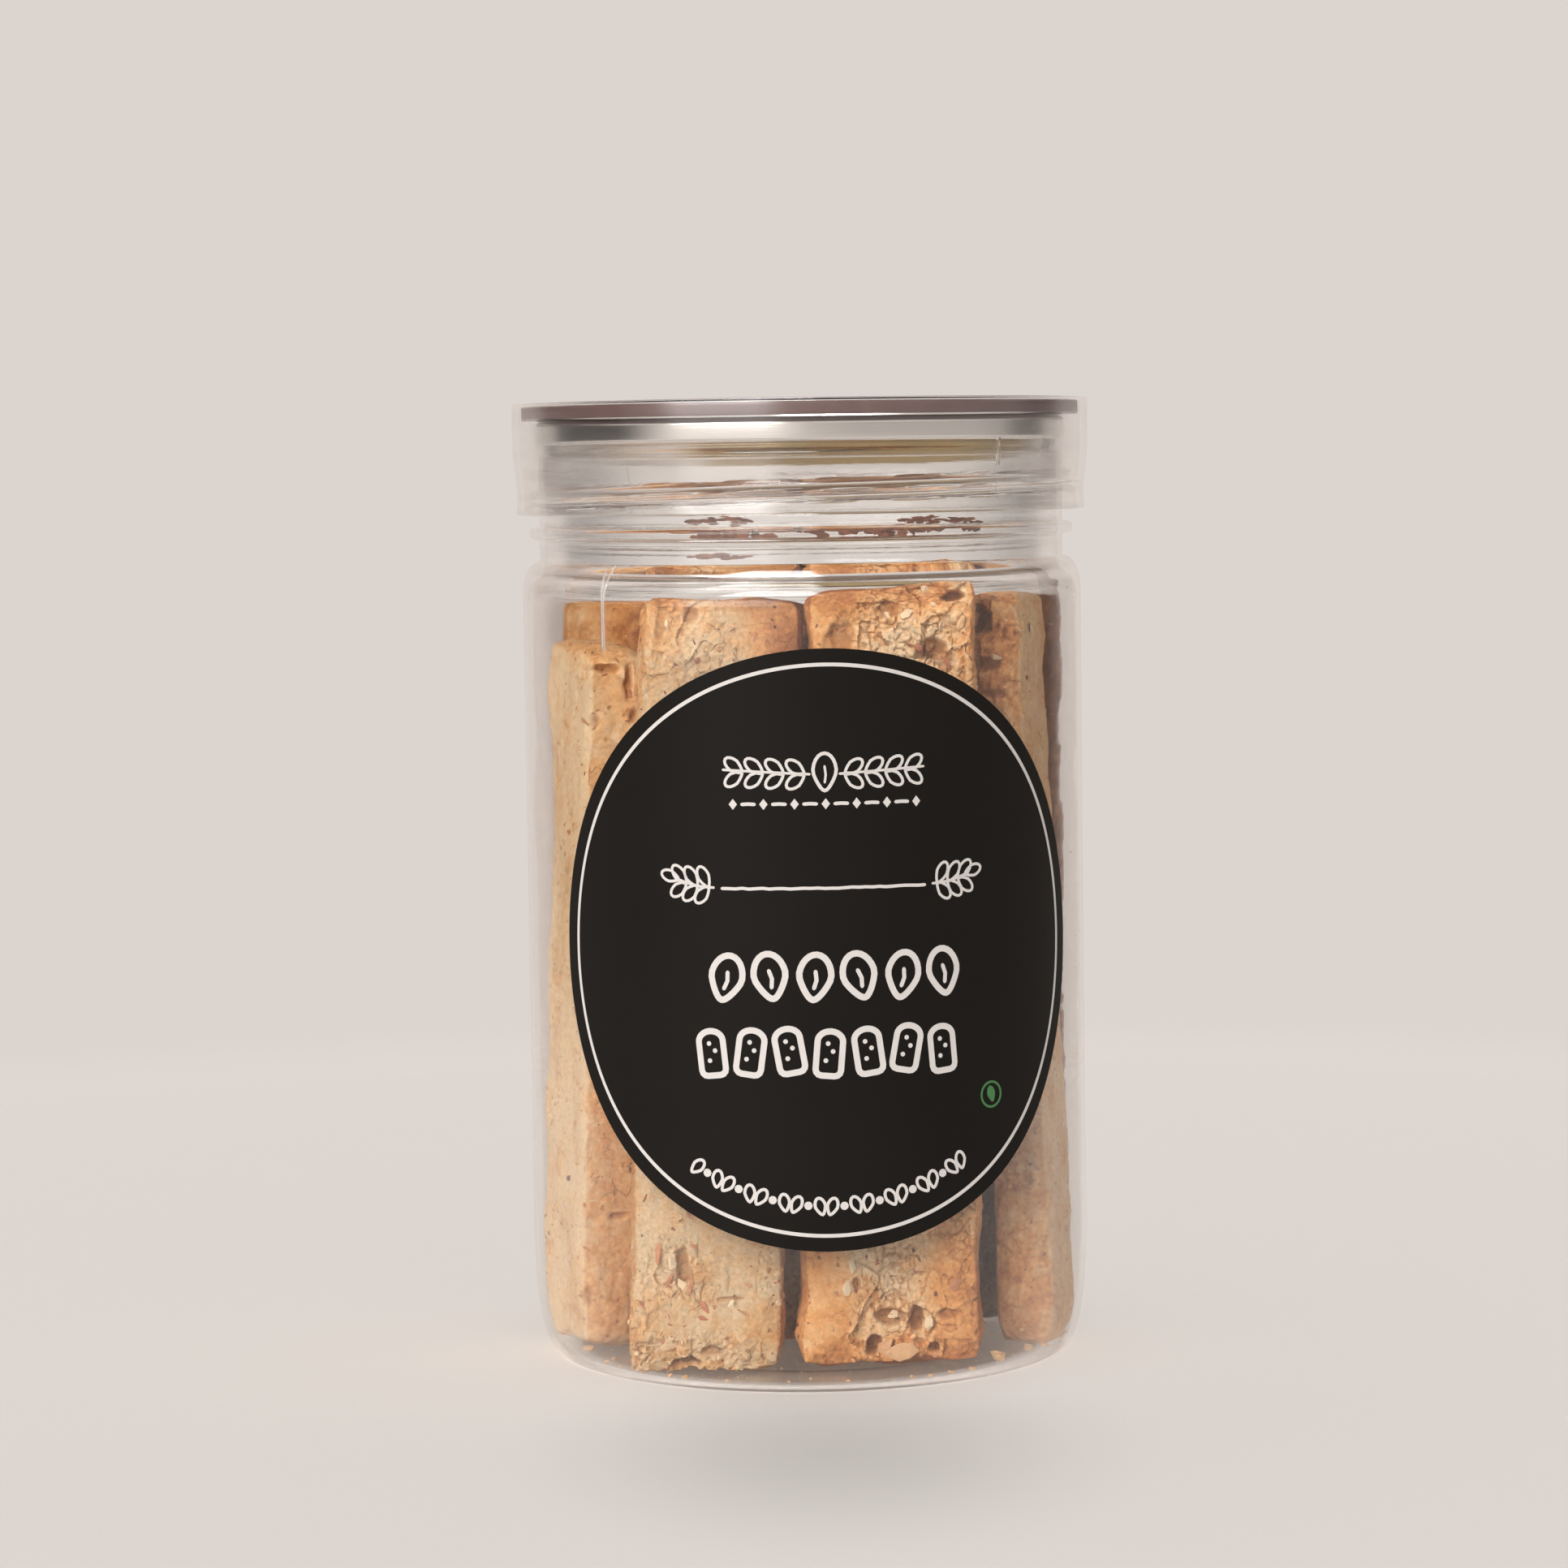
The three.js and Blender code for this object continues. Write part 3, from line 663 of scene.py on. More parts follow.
meal = sum_up(
    tree, (band(tree, mealy, 0.25, 0.75, 0.86, 1.10), 1.0), (tone, 1.0),
    (band(tree, grains["Z"], 0.0, 1.0, -0.07, 0.07), crumbly))
mealed = dimmed(tree, toned(tree, browned, DOUGH_TONES), meal)
crack_shaded = blended(tree, calculate(tree, "MULTIPLY", cracked, 0.4), mealed, PAINTED_CRACK_SHADE)
pit_shaded = blended(tree, calculate(tree, "MULTIPLY", pitted, 0.6), crack_shaded, PAINTED_PIT_SHADE)
fine_height = sum_up(
    tree, (flake, calculate(tree, "MULTIPLY", crumbly, 0.30)),
    (grains["X"], band(tree, crumbly, 0.0, 1.0, 0.025, 0.13)), (mealy, 0.16), (cracked, -0.16),
    (pitted, -0.20))
finish(tree, {
    "Base Color": blended(tree, hollow_shade, pit_shaded, PAINTED_HOLLOW_SHADE), "Roughness": 0.9, "Specular IOR Level": 0.13,
    "Normal": bumped(tree, fine_height, 0.9, 1.0 * MM)})

# For each slice: how far it is baked, how crumbly its cut faces and its crust are, and its tone.
# Bake and tone also carry painted light and shade: the two back slices are darker as painted shade,
# for they stand behind the front ones out of the light, and the front slices' tones even out how the
# light falls on each.
SLICE_LOOK = {
    "biscotto_front_left": (0.13, 0.28, 0.30, -0.15),
    "biscotto_front_right": (0.34, 0.95, 0.35, 0.05),
    "biscotto_left": (0.06, 0.22, 0.36, 0.06),
    "biscotto_right": (0.22, 0.30, 0.65, 0.06),
    "biscotto_back_left": (0.56, 0.30, 0.40, -0.10),
    "biscotto_back_right": (1.0, 0.75, 0.60, -0.42),
}
# The slices further back are darker still, as painted shade.
REAR_LOOK_WITH_PAINTED_SHADE = (0.72, 0.60, 0.40, 0.0)

# Patches of the visible sides: where (x, z), how far they reach, and how much more crumbly and
# baked they are.
PATCHES = {
    "biscotto_front_left": [
        (-20.5, 112.5, 5.0, 5.0, 0.25, 0.22), (-3.5, 113, 5.5, 9.0, -0.35, 0.40),
        (-2.5, 104, 3.0, 12.0, -0.2, 0.30), (-12, 116.5, 12.0, 2.5, 0.2, 0.26),
        (-17, 3.5, 14.0, 4.0, 0.45, 0.04), (-25.0, 8.0, 3.0, 6.0, 0.3, 0.12),
        (-20, 17, 5.0, 6.0, 0.35, 0.0), (-6.5, 9.0, 3.5, 4.0, 0.0, 0.25)],
    "biscotto_front_right": [
        (3.8, 112, 4.5, 11.0, -0.85, 0.22), (2.2, 12, 4.0, 14.0, -0.75, 0.20),
        (12, 117, 13.0, 3.4, 0.0, 0.34), (13, 111, 7.0, 6.0, 0.1, -0.12), (22, 111, 3.5, 9.0, 0.0, 0.06),
        (21.8, 12, 4.5, 13.0, -0.35, 0.38), (12, 3.0, 14.0, 3.5, 0.1, 0.36),
        (12, 20, 8.0, 6.0, -0.2, -0.16)],
    "biscotto_left": [
        (-31, 107, 7.0, 4.5, 0.1, 0.12), (-28, 24, 5.0, 30.0, 0.0, 0.16), (-31, 9, 7.0, 7.0, 0.1, 0.15)],
    "biscotto_right": [
        (28, 112, 6.0, 6.0, 0.3, 0.22), (26, 100, 4.0, 14.0, 0.0, 0.15), (30, 8, 6.0, 9.0, -0.1, 0.12)],
    "biscotto_back_left": [(-24, 112, 6.0, 6.0, 0.2, 0.25), (-37, 112, 4.0, 9.0, 0.7, -0.1)],
}

# Holes in the visible sides: where (x, z), how wide and high they are, and how deep.
HOLES = {
    "biscotto_front_left": [
        (-18.8, 17.2, 1.1, 3.4, 1.0), (-16.2, 113.6, 1.3, 1.3, 0.5), (-20.7, 112.0, 0.9, 2.2, 0.45),
        (-14.6, 4.6, 1.8, 0.9, 0.9), (-18.5, 2.6, 2.4, 1.1, 1.6), (-12.0, 12.6, 2.2, 0.4, 0.5)],
    "biscotto_front_right": [
        (22.0, 116.6, 2.0, 1.5, 2.6), (19.0, 108.4, 2.6, 1.6, 1.4), (5.6, 110.2, 1.8, 3.0, 1.0),
        (3.9, 109.0, 1.2, 2.0, 0.5), (15.4, 8.9, 1.2, 2.2, 3.0), (11.6, 9.4, 2.4, 1.4, 1.5),
        (9.3, 5.0, 1.3, 1.7, 2.8), (6.6, 14.4, 0.6, 1.1, 1.0), (17.9, 4.6, 1.0, 1.2, 1.2),
        (21.0, 106.4, 1.2, 2.0, 0.9), (12.5, 114.5, 1.6, 2.2, 1.2), (20.2, 9.9, 2.0, 0.9, 0.8),
        (14.8, 106.0, 3.0, 0.8, 1.0)],
    "biscotto_left": [
        (-26.1, 103.6, 0.7, 2.5, 1.0), (-25.3, 98.4, 0.8, 1.0, 0.8), (-29.5, 105.5, 2.4, 0.8, 0.8),
        (-31.5, 97.5, 0.9, 1.4, 0.8), (-29.0, 22.2, 1.8, 0.5, 0.6), (-34.0, 10.0, 0.9, 1.8, 0.6)],
    "biscotto_right": [
        (25.9, 112.2, 2.2, 2.0, 2.6), (27.4, 105.5, 2.8, 1.2, 0.9), (28.5, 101.0, 2.0, 0.9, 0.7),
        (27.0, 92.0, 2.4, 0.8, 0.6), (27.2, 18.0, 2.0, 0.5, 0.5)],
}

# Corners rounded by wear: side (1 for right), end (1 for the top) and radius.
WORN_CORNERS = {
    "biscotto_front_left": [(-1, 1, 6.0), (1, 1, 4.0), (1, -1, 4.5)],
    "biscotto_front_right": [(-1, 1, 5.5), (-1, -1, 4.5), (1, -1, 3.5)],
}
# How far the visible slices' tops and feet reach beyond their solids, in millimetres.
END_GROWTH = {1: 0.75, -1: 1.3}
# The lowest that they may reach, and the room that they leave along the jar's wall.
LOWEST_FOOT = 1.4
WALL_ROOM = 0.3

wall_rows = heel_in + shoulder_in[::-1]
wall_radii, wall_heights, _ = zip(*wall_rows)

slice_surfaces = {}
for number, node in enumerate(slices):
    fine = node in FRONT_SLICES
    slice_mesh = even_copy(node, FINE_CELL if fine else COARSE_CELL, 2 if fine else 3)
    middle, axes = slice_frame(node)
    places = np.array([v.co for v in slice_mesh.verts])
    normals = np.array([v.normal for v in slice_mesh.verts])
    local = (places - middle) @ axes.T / MM
    half = np.abs(local).max(0)
    if node in SLICE_LOOK:
        for end, length in END_GROWTH.items():
            growth = length * smoothstep(0.6, 1.0, end * local[:, 2:] / half[2]) * (0, 0, end)
            local = local + growth
            places = places + growth @ axes * MM
        half[2] += 1.0
    for side, end, radius in WORN_CORNERS.get(node, []):
        reach = np.maximum(local * (side, 0, end) - half + radius, 0) * (1, 0, 1)
        away = np.maximum(np.linalg.norm(reach, axis=1), 0.01)
        worn = reach * (np.maximum(away - radius, 0) / away)[:, None] * (side, 0, end)
        local = local - worn
        places = places - worn @ axes * MM
    facing = np.abs(normals @ axes.T)
    crust = smoothstep(0.5, 0.85, np.maximum(facing[:, 0], facing[:, 2]))
    from_side = half[0] - np.abs(local[:, 0])
    from_end = half[2] - np.abs(local[:, 2])
    corner = smoothstep(3.5, 0.0, np.minimum(from_side, from_end) + half[1] - np.abs(local[:, 1]))
    visible = normals[:, 1] < 0.1
    base_bake, cut_crumble, crust_crumble, base_tone = SLICE_LOOK.get(node, REAR_LOOK_WITH_PAINTED_SHADE)
    crumble = cut_crumble * (1 - crust) + crust_crumble * crust + 0.2 * corner
    bake_and_shade_map = base_bake + 0.26 * crust + 0.20 * corner
    for x, z, reach_x, reach_z, more_crumble, more_bake in PATCHES.get(node, []):
        away = np.hypot((places[:, 0] / MM - x) / reach_x, (places[:, 2] / MM - z) / reach_z)
        share = smoothstep(1.35, 0.55, away) * visible
        crumble = crumble + more_crumble * share
        bake_and_shade_map = bake_and_shade_map + more_bake * share
    spots = local + 40 * number
    swell = rough_lumps(spots, 5.5, 3, 3)
    crumble = np.clip(crumble + 0.22 * lumps(spots, 6.0, 91), 0.03, 1)
    slabs, _ = chunks(spots * (1, 1, 0.7), 4.4, 11)
    clods, clod_gap = chunks(spots, 1.9, 23)
    bits, bit_gap = chunks(spots, 0.85, 37)
    flecks, _ = chunks(spots, 0.45, 53)
    grit = rough_lumps(spots, 0.9, 61, 2)
    _, crack_gap = chunks(spots * (1, 1, 0.8), 5.2, 71)
    rugged = crumble ** 1.5
    relief = 0.12 * swell + 0.05 * grit
    relief += rugged * (
        1.35 * (slabs - 0.78) + 0.80 * (clods - 0.66) + 0.40 * (bits - 0.5) + 0.16 * (flecks - 0.5)
        + 0.06 * grit)
    crevice = smoothstep(0.16, 0.0, clod_gap) * (clods > 0.35)
    relief -= 0.42 * rugged * crevice
    missing = (bits > 0.90) * smoothstep(0.0, 0.25, bit_gap) * rugged
    relief -= 0.55 * missing
    broken = (clods > 0.80) * smoothstep(0.05, 0.3, clod_gap) * corner * smoothstep(0.25, 0.6, crumble)
    relief -= 1.1 * broken
    hairline = smoothstep(0.05, 0.0, crack_gap) * smoothstep(0.1, 0.5, lumps(spots, 4.0, 83))
    relief -= 0.16 * hairline
    streaks = lumps(spots * (1, 1, 0.12), 0.9, 97) * (1 - crust) * smoothstep(0.5, 0.2, crumble)
    relief += 0.06 * streaks - 0.8 * np.median(relief)
    # Painted shade: crevices, hairlines, missing bits and holes are darkened.
    hollow_shade_map = 0.40 * crevice * rugged + 0.15 * hairline + 0.25 * missing
    for x, z, wide, high, depth in HOLES.get(node, []):
        aside = (places[:, 0] / MM - x) / wide
        above = (places[:, 2] / MM - z) / high
        ragged = 1 + 0.30 * lumps(spots, 1.1, 45) + 0.15 * grit
        reach = np.hypot(aside, above) / ragged
        fall = smoothstep(1.15, 0.55, reach) * (normals[:, 1] < -0.15)
        relief -= depth * fall
        hollow_shade_map = np.maximum(hollow_shade_map, fall * min(0.85, 0.25 + 0.3 * depth))
    relief = np.clip(relief, *RELIEF_RANGE)
    moved = places + normals * relief[:, None] * MM
    # Nothing pokes through the jar's wall or floor.
    out = np.hypot(moved[:, 0], moved[:, 1])
    room_there = np.interp(moved[:, 2] / MM, wall_heights, wall_radii) - WALL_ROOM
    moved[:, :2] *= np.minimum(1, room_there * MM / out)[:, None]
    moved[:, 2] = np.maximum(moved[:, 2], LOWEST_FOOT * MM)
    # Painted light and shade: hollows of the relief are browner and darker, and its peaks are paler.
    slice_mesh.verts.index_update()
    ends = np.array([[v.index for v in e.verts] for e in slice_mesh.edges])
    links = np.bincount(ends.ravel(), minlength=len(relief))
    around = relief
    for _ in range(9):
        around = (np.bincount(ends[:, 0], around[ends[:, 1]], len(relief))
                  + np.bincount(ends[:, 1], around[ends[:, 0]], len(relief))) / links
    sunk = np.clip((around - relief) / 0.35, -1, 1)
    bake_and_shade_map = bake_and_shade_map + 0.07 * swell + crumble * (0.16 * (clods - 0.5) - 0.10 * (1 - slabs)) + 0.16 * sunk
    tone_map = base_tone + crumble * (0.10 * (bits - 0.5) + 0.10 * (clods - 0.5))
    tone_map += 0.02 * streaks - 0.07 * sunk
    layers = [slice_mesh.verts.layers.float.new(name) for name in DOUGH_LAYERS]
    values = np.stack([np.clip(bake_and_shade_map, 0, 1), np.minimum(hollow_shade_map, 0.9), tone_map, crumble], 1)
    for vert, co, shades in zip(slice_mesh.verts, moved, values):
        vert.co = co
        for layer, shade in zip(layers, shades):
            vert[layer] = shade
    slice_mesh.normal_update()
    outward = np.array([v.normal for v in slice_mesh.verts])
    slice_surfaces[node] = (moved, outward, crumble)
    finished("slice_" + node.removeprefix("biscotto_"), slice_mesh, dough, "baked_dough", node)

# ---- Almond bits --------------------------------------------------------------
# Chopped almonds baked in the dough: ivory chips where a kernel is cut, red-brown
# slivers of its skin and fine dark specks of ground skin all over; and dark flakes in the neck,
# which are painted shade.


def angular_shapes(count, corners, draw):
    """Hulls of scattered points, within 1 of their middle: the corners and the faces of each."""
    shapes = []
    for _ in range(count):
        bm = bmesh.new()
        for _ in range(corners):
            corner = Vector([draw.gauss(0, 1) for _ in range(3)]).normalized()
            bm.verts.new(corner * draw.uniform(0.8, 1.0))
        hull = bmesh.ops.convex_hull(bm, input=bm.verts[:])
        inner = [g for g in hull["geom_interior"] if isinstance(g, bmesh.types.BMVert)]
        bmesh.ops.delete(bm, geom=inner, context="VERTS")
        bmesh.ops.recalc_face_normals(bm, faces=bm.faces[:])
        bm.verts.index_update()
        shapes.append((np.array([v.co for v in bm.verts]), [[v.index for v in f.verts] for f in bm.faces]))
        bm.free()
    return shapes


def joined_bits(name, bits, layers):
    """One mesh of many angular bits, each a (shape, place, turn, size, values of the layers)."""
    corners, faces = [], []
    values = {layer: [] for layer in layers}
    for (points, polygons), place, turn, size, shades in bits:
        start = len(corners)
        spots = points * (np.array(size) * MM / 2) @ np.array(turn.to_matrix()).T + np.array(place)
        corners.extend(spots.tolist())
        faces.extend([start + i for i in polygon] for polygon in polygons)
        for layer, shade in zip(layers, shades):
            values[layer].extend([shade] * len(points))
    mesh = bpy.data.meshes.new(name)
    mesh.from_pydata(corners, [], faces)
    for layer in layers:
        mesh.attributes.new(layer, "FLOAT", "POINT").data.foreach_set("value", values[layer])
    return mesh


# The darkest tone also colours the painted shade flakes in the neck.
ALMOND_TONES = [
    (0.0, (0.82, 0.65, 0.43)), (0.35, (0.70, 0.42, 0.22)), (0.6, (0.50, 0.19, 0.10)),
    (1.0, (0.075, 0.030, 0.016))]
almond, tree, place = new_paint("almond_bits_and_shade_flakes")
skin = add_node(tree, "ShaderNodeAttribute", attribute_name="skin").outputs["Fac"]
fibre = grained(tree, place, 1400.0, 3.0)
skin_place = add_node(
    tree, "ShaderNodeMath", {0: skin, 1: band(tree, fibre, 0, 1, -0.10, 0.10, easing="LINEAR")},
    operation="ADD", use_clamp=True).outputs[0]
finish(tree, {
    "Base Color": toned(tree, skin_place, ALMOND_TONES), "Roughness": 0.6,
    "Normal": bumped(tree, fibre, 0.3, 0.3 * MM)})

# Bits that stand out: where (x, z), length, width and thickness, lean from upright in degrees,
# and skin from 0 for ivory to 1 for dark.
NOTABLE_BITS = {
    "biscotto_front_left": [
        (-15.4, 107.3, 1.3, 0.9, 0.5, 40, 0.75), (-3.9, 115.0, 0.9, 0.7, 0.5, 0, 0.95),
        (-4.0, 112.0, 0.6, 0.5, 0.4, 0, 1.0), (-6.9, 110.4, 1.7, 0.5, 0.4, 15, 0.6),
        (-15.8, 109.8, 1.2, 0.3, 0.3, -20, 0.9), (-22.3, 19.8, 5.2, 1.4, 0.8, 8, 0.55),
        (-22.6, 15.8, 2.4, 1.5, 0.7, -20, 0.45), (-17.3, 20.6, 1.6, 0.7, 0.4, -50, 0.6),
        (-20.8, 15.4, 3.0, 0.8, 0.5, 30, 0.58), (-17.6, 15.2, 4.6, 0.8, 0.5, 10, 0.55),
        (-15.6, 11.4, 2.6, 1.2, 0.6, -35, 0.62), (-15.9, 9.8, 1.8, 0.9, 0.5, -70, 0.6),
        (-24.6, 11.9, 2.0, 0.7, 0.5, -45, 0.65), (-24.2, 27.8, 2.0, 0.5, 0.4, 30, 0.62),
        (-18.1, 25.1, 1.4, 1.1, 0.4, 0, 0.6), (-9.2, 14.6, 1.9, 0.8, 0.4, -70, 0.5),
        (-11.5, 11.9, 2.4, 1.4, 0.9, 20, 0.0), (-20.1, 18.4, 3.6, 1.5, 0.9, 0, 0.0),
        (-18.9, 14.6, 3.0, 1.6, 0.9, -15, 0.03), (-10.2, 10.6, 2.4, 0.4, 0.4, -60, 0.55),
        (-22.0, 6.4, 1.2, 0.7, 0.5, 0, 0.6), (-14.2, 108.8, 0.9, 0.4, 0.3, 10, 0.7),
        (-19.0, 113.0, 1.9, 0.4, 0.3, 25, 0.5), (-25.9, 17.0, 2.6, 0.5, 0.5, 10, 0.6)],
    "biscotto_front_right": [
        (16.6, 111.6, 3.2, 2.4, 1.4, -35, 0.0), (16.9, 108.9, 2.9, 1.9, 1.0, -60, 0.72),
        (20.7, 106.4, 3.2, 0.8, 0.8, -30, 0.7), (20.2, 111.6, 2.0, 1.1, 0.8, 20, 0.02),
        (15.2, 113.6, 2.6, 1.5, 1.0, 60, 0.05), (21.3, 14.3, 2.8, 1.5, 0.8, 25, 0.55),
        (9.8, 17.6, 1.8, 0.8, 0.5, 30, 0.62), (11.9, 15.6, 2.2, 0.9, 0.6, 35, 0.85),
        (15.5, 16.2, 1.6, 0.5, 0.4, 80, 0.55), (5.2, 14.0, 3.4, 1.5, 1.0, 10, 0.0),
        (6.0, 17.2, 3.0, 1.2, 0.9, -10, 0.03), (17.5, 8.6, 2.6, 1.8, 1.4, 10, 0.02),
        (13.2, 4.4, 5.6, 3.6, 1.6, 82, 0.36), (11.0, 5.2, 3.4, 3.0, 1.4, 70, 0.42),
        (15.2, 19.6, 1.0, 0.6, 0.4, 0, 0.9), (18.3, 12.9, 1.1, 0.7, 0.5, 0, 0.85),
        (5.9, 111.4, 1.6, 0.5, 0.4, 60, 0.6), (12.6, 9.7, 3.0, 1.7, 1.2, 60, 0.02),
        (17.3, 115.6, 0.8, 0.5, 0.4, 0, 0.75), (18.0, 3.6, 1.6, 0.9, 0.6, 0, 0.5),
        (6.6, 13.4, 0.9, 0.6, 0.4, 0, 0.75)],
    "biscotto_left": [
        (-32.3, 97.7, 2.2, 1.6, 0.8, -30, 0.52), (-25.7, 101.4, 1.6, 1.0, 0.7, 0, 0.65),
        (-35.6, 80.5, 1.3, 0.9, 0.6, 0, 0.58), (-32.1, 38.3, 0.8, 0.6, 0.4, 0, 0.5),
        (-36.6, 27.3, 1.2, 0.9, 0.5, 0, 0.95), (-34.0, 24.0, 1.0, 0.6, 0.4, 0, 0.6),
        (-29.6, 104.8, 1.4, 0.5, 0.4, 80, 0.6)],
    "biscotto_right": [
        (34.0, 110.6, 2.0, 0.8, 0.7, 5, 0.97), (28.6, 107.0, 2.4, 1.4, 0.9, -60, 0.0),
        (33.2, 103.5, 1.2, 0.5, 0.4, 20, 0.9), (29.4, 100.8, 1.8, 0.5, 0.4, 80, 0.6),
        (33.0, 30.2, 1.1, 0.7, 0.4, 0, 0.85), (31.4, 12.0, 1.6, 0.6, 0.4, 80, 0.6)],
}
# How many specks each slice has.
SPECKS = {
    "biscotto_front_left": 1300, "biscotto_front_right": 800, "biscotto_left": 1100, "biscotto_right": 1000,
}
PLAIN_SPECKS = 200

# Dark flakes put inside the neck, by the bead, as painted shade: they stand for the shadowed
# sides of the rear slices as seen through the neck. Where their heaps are (x, z), width and height,
# and the largest flake's width, height and thickness.
PAINTED_SHADE_FLAKES = [
    (-11.6, 127.4, 9.5, 1.7), (-9.8, 125.3, 12.0, 1.1), (-11.7, 122.4, 9.0, 0.9),
    (4.0, 125.8, 9.0, 1.0), (14.0, 125.9, 15.0, 1.3), (25.0, 126.2, 14.0, 1.3), (19.5, 127.2, 11.0, 1.1)]
SHADE_FLAKE_SIZE = (2.6, 0.62, 0.2)

draw = random.Random(70)
bit_shapes = angular_shapes(24, 11, draw)
nut_bits_and_shade_flakes = []
for node in slices:
    moved, outward, crumble = slice_surfaces[node]
    for x, z, length, width, thick, lean, shade in NOTABLE_BITS.get(node, []):
        away = np.hypot(moved[:, 0] / MM - x, moved[:, 2] / MM - z) + 50 * (outward[:, 1] > -0.25)
        nearest = int(away.argmin())
        face_on = Vector((0, -1, 0.05)).to_track_quat("Z", "Y") @ Quaternion((0, 0, 1), math.radians(-lean))
        nut_bits_and_shade_flakes.append(
            (draw.choice(bit_shapes), moved[nearest] + outward[nearest] * 0.25 * thick * MM, face_on,
             (width, length, thick), (shade,)))
    speck_count = SPECKS.get(node, PLAIN_SPECKS)
    for i in range(speck_count + speck_count // 30):
        nearest = draw.randrange(len(moved))
        lying = Vector(outward[nearest]).to_track_quat("Z", "Y")
        lying = lying @ Quaternion((0, 0, 1), draw.uniform(0, math.tau))
        if i < speck_count:
            length = 0.24 + 0.9 * draw.random() ** 4
            size = (length * draw.uniform(0.3, 0.75), length, 0.22)
            shade = draw.choice((0.45, 0.55, 0.6, 0.7, 0.85, 0.95))
        elif crumble[nearest] > 0.3:
            length = draw.uniform(0.9, 2.6)
            size = (length * draw.uniform(0.4, 0.8), length, 0.8)
            shade = draw.uniform(0, 0.08)
        else:
            continue
        nut_bits_and_shade_flakes.append((draw.choice(bit_shapes), moved[nearest], lying, size, (shade,)))
# Painted shade: dark flakes along the inside of the neck.
for x, z, wide, high in PAINTED_SHADE_FLAKES:
    for i in range(int(4 * wide)):
        aside = draw.uniform(-1, 1)
        above = draw.uniform(-1, 1) * (1 - abs(aside) ** 1.5)
        angle = math.asin((x + aside * wide / 2) / neck_in)
        outwards = Vector((math.sin(angle), -math.cos(angle), 0))
        spot = np.array((outwards * (neck_in - 0.3)).xy.to_tuple() + (z + above * high / 2,)) * MM
        size = [edge * draw.uniform(0.6, 1.1) for edge in SHADE_FLAKE_SIZE]
        facing_out = outwards.to_track_quat("Z", "Y")
        nut_bits_and_shade_flakes.append((draw.choice(bit_shapes), spot, facing_out, size, (draw.uniform(0.86, 0.98),)))
finished_mesh(joined_bits("almond_bits_and_shade_flakes", nut_bits_and_shade_flakes, ("skin",)), almond, "almond")

# ---- Crumbs -------------------------------------------------------------------
# Crumbs of the same dough that have fallen off: a few large ones round the foot of
# the front slices, fine ones over the floor, and some that cling to the wall.

LARGE_CRUMBS = [
    (27.4, -27.6, 3.0), (23.4, -30.8, 1.3), (20.3, -32.0, 1.2), (32.2, -21.9, 2.6), (-33.9, -14.0, 2.4),
    (-29.8, -19.7, 1.2), (-28.6, -25.0, 0.8), (-20.8, -32.0, 1.3), (-18.6, -33.6, 1.4), (-12.6, -35.6, 0.9),
    (-3.4, -36.9, 0.8), (5.2, -36.6, 0.8), (14.6, -34.9, 1.2), (31.0, -26.6, 1.0), (17.3, -33.8, 1.0),
    (4.7, -28.5, 0.5), (-30.5, -24.8, 1.1), (34.8, -18.6, 1.5), (-25.8, -29.4, 0.9)]
FINE_CRUMBS = 260
FINE_CRUMB_REACH = 39.0
WALL_CRUMBS = 46
# The dough's layers, of the fallen crumbs and of those on the wall.
FALLEN_LOOK = (0.25, 0.0, 0.0, 0.5)
CLINGING_LOOK = (0.0, 0.0, 0.0, 0.5)

floor_rows = [(0, floor_top, 0), (FLOOR_FLAT_R, floor_top, 0), (FOOT_INNER_R, FLOOR_WALL, 0), *heel_in]
floor_radii, floor_heights, _ = zip(*floor_rows)
draw = random.Random(31)
crumb_shapes = angular_shapes(16, 16, draw)
crumb_places = list(LARGE_CRUMBS)
for _ in range(FINE_CRUMBS):
    angle = draw.uniform(0, math.tau)
    out = FINE_CRUMB_REACH * math.sqrt(draw.uniform(0.3, 1.0))
    crumb_places.append((out * math.sin(angle), -out * math.cos(angle), 0.18 + 0.55 * draw.random() ** 3))
crumb_bits = []
for x, y, size in crumb_places:
    out = math.hypot(x, y)
    lowest = float(np.interp(out + 0.3 * size, floor_radii, floor_heights))
    spin = Quaternion((0, 0, 1), draw.uniform(0, math.tau))
    place = Vector((x, y, lowest + 0.32 * size)) * MM
    sides = (size, size * 0.8, size * 0.62)
    crumb_bits.append((draw.choice(crumb_shapes), place, spin, sides, FALLEN_LOOK))
for _ in range(WALL_CRUMBS):
    angle = math.radians(draw.uniform(-110, 110))
    size = draw.uniform(0.15, 0.38)
    out = body_in - 0.25 - size / 2
    place = Vector((out * math.sin(angle), -out * math.cos(angle), draw.uniform(22, 116))) * MM
    crumb_bits.append((draw.choice(crumb_shapes), place, Quaternion(), (size, size, size), CLINGING_LOOK))
finished_mesh(joined_bits("loose_crumbs", crumb_bits, DOUGH_LAYERS), dough, "baked_dough")

# ---- Metal end ----------------------------------------------------------------
# A stamped tinplate end, seamed over the jar's rim: a double-rolled hook outside,
# a chuck wall, a countersink and a flat panel. Bright, with a drawn grain round it, and
# gold lacquer on the side towards the food. The lacquer is left off at the left, where the bare
# tin is a painted highlight of the lamp's glare, and it ends short of the right side.

SEAM_R = 40.4
SEAM_TOP = 142.3
SEAM_FOOT = 138.8
CHUCK_R = 37.4
COUNTERSINK = (34.3, 137.85)
PANEL_R = 33.0
PANEL_Z = 139.2
TIN = 0.45
HOOK = (37.8, 39.35, 141.65)
LACQUER_R = 38.3
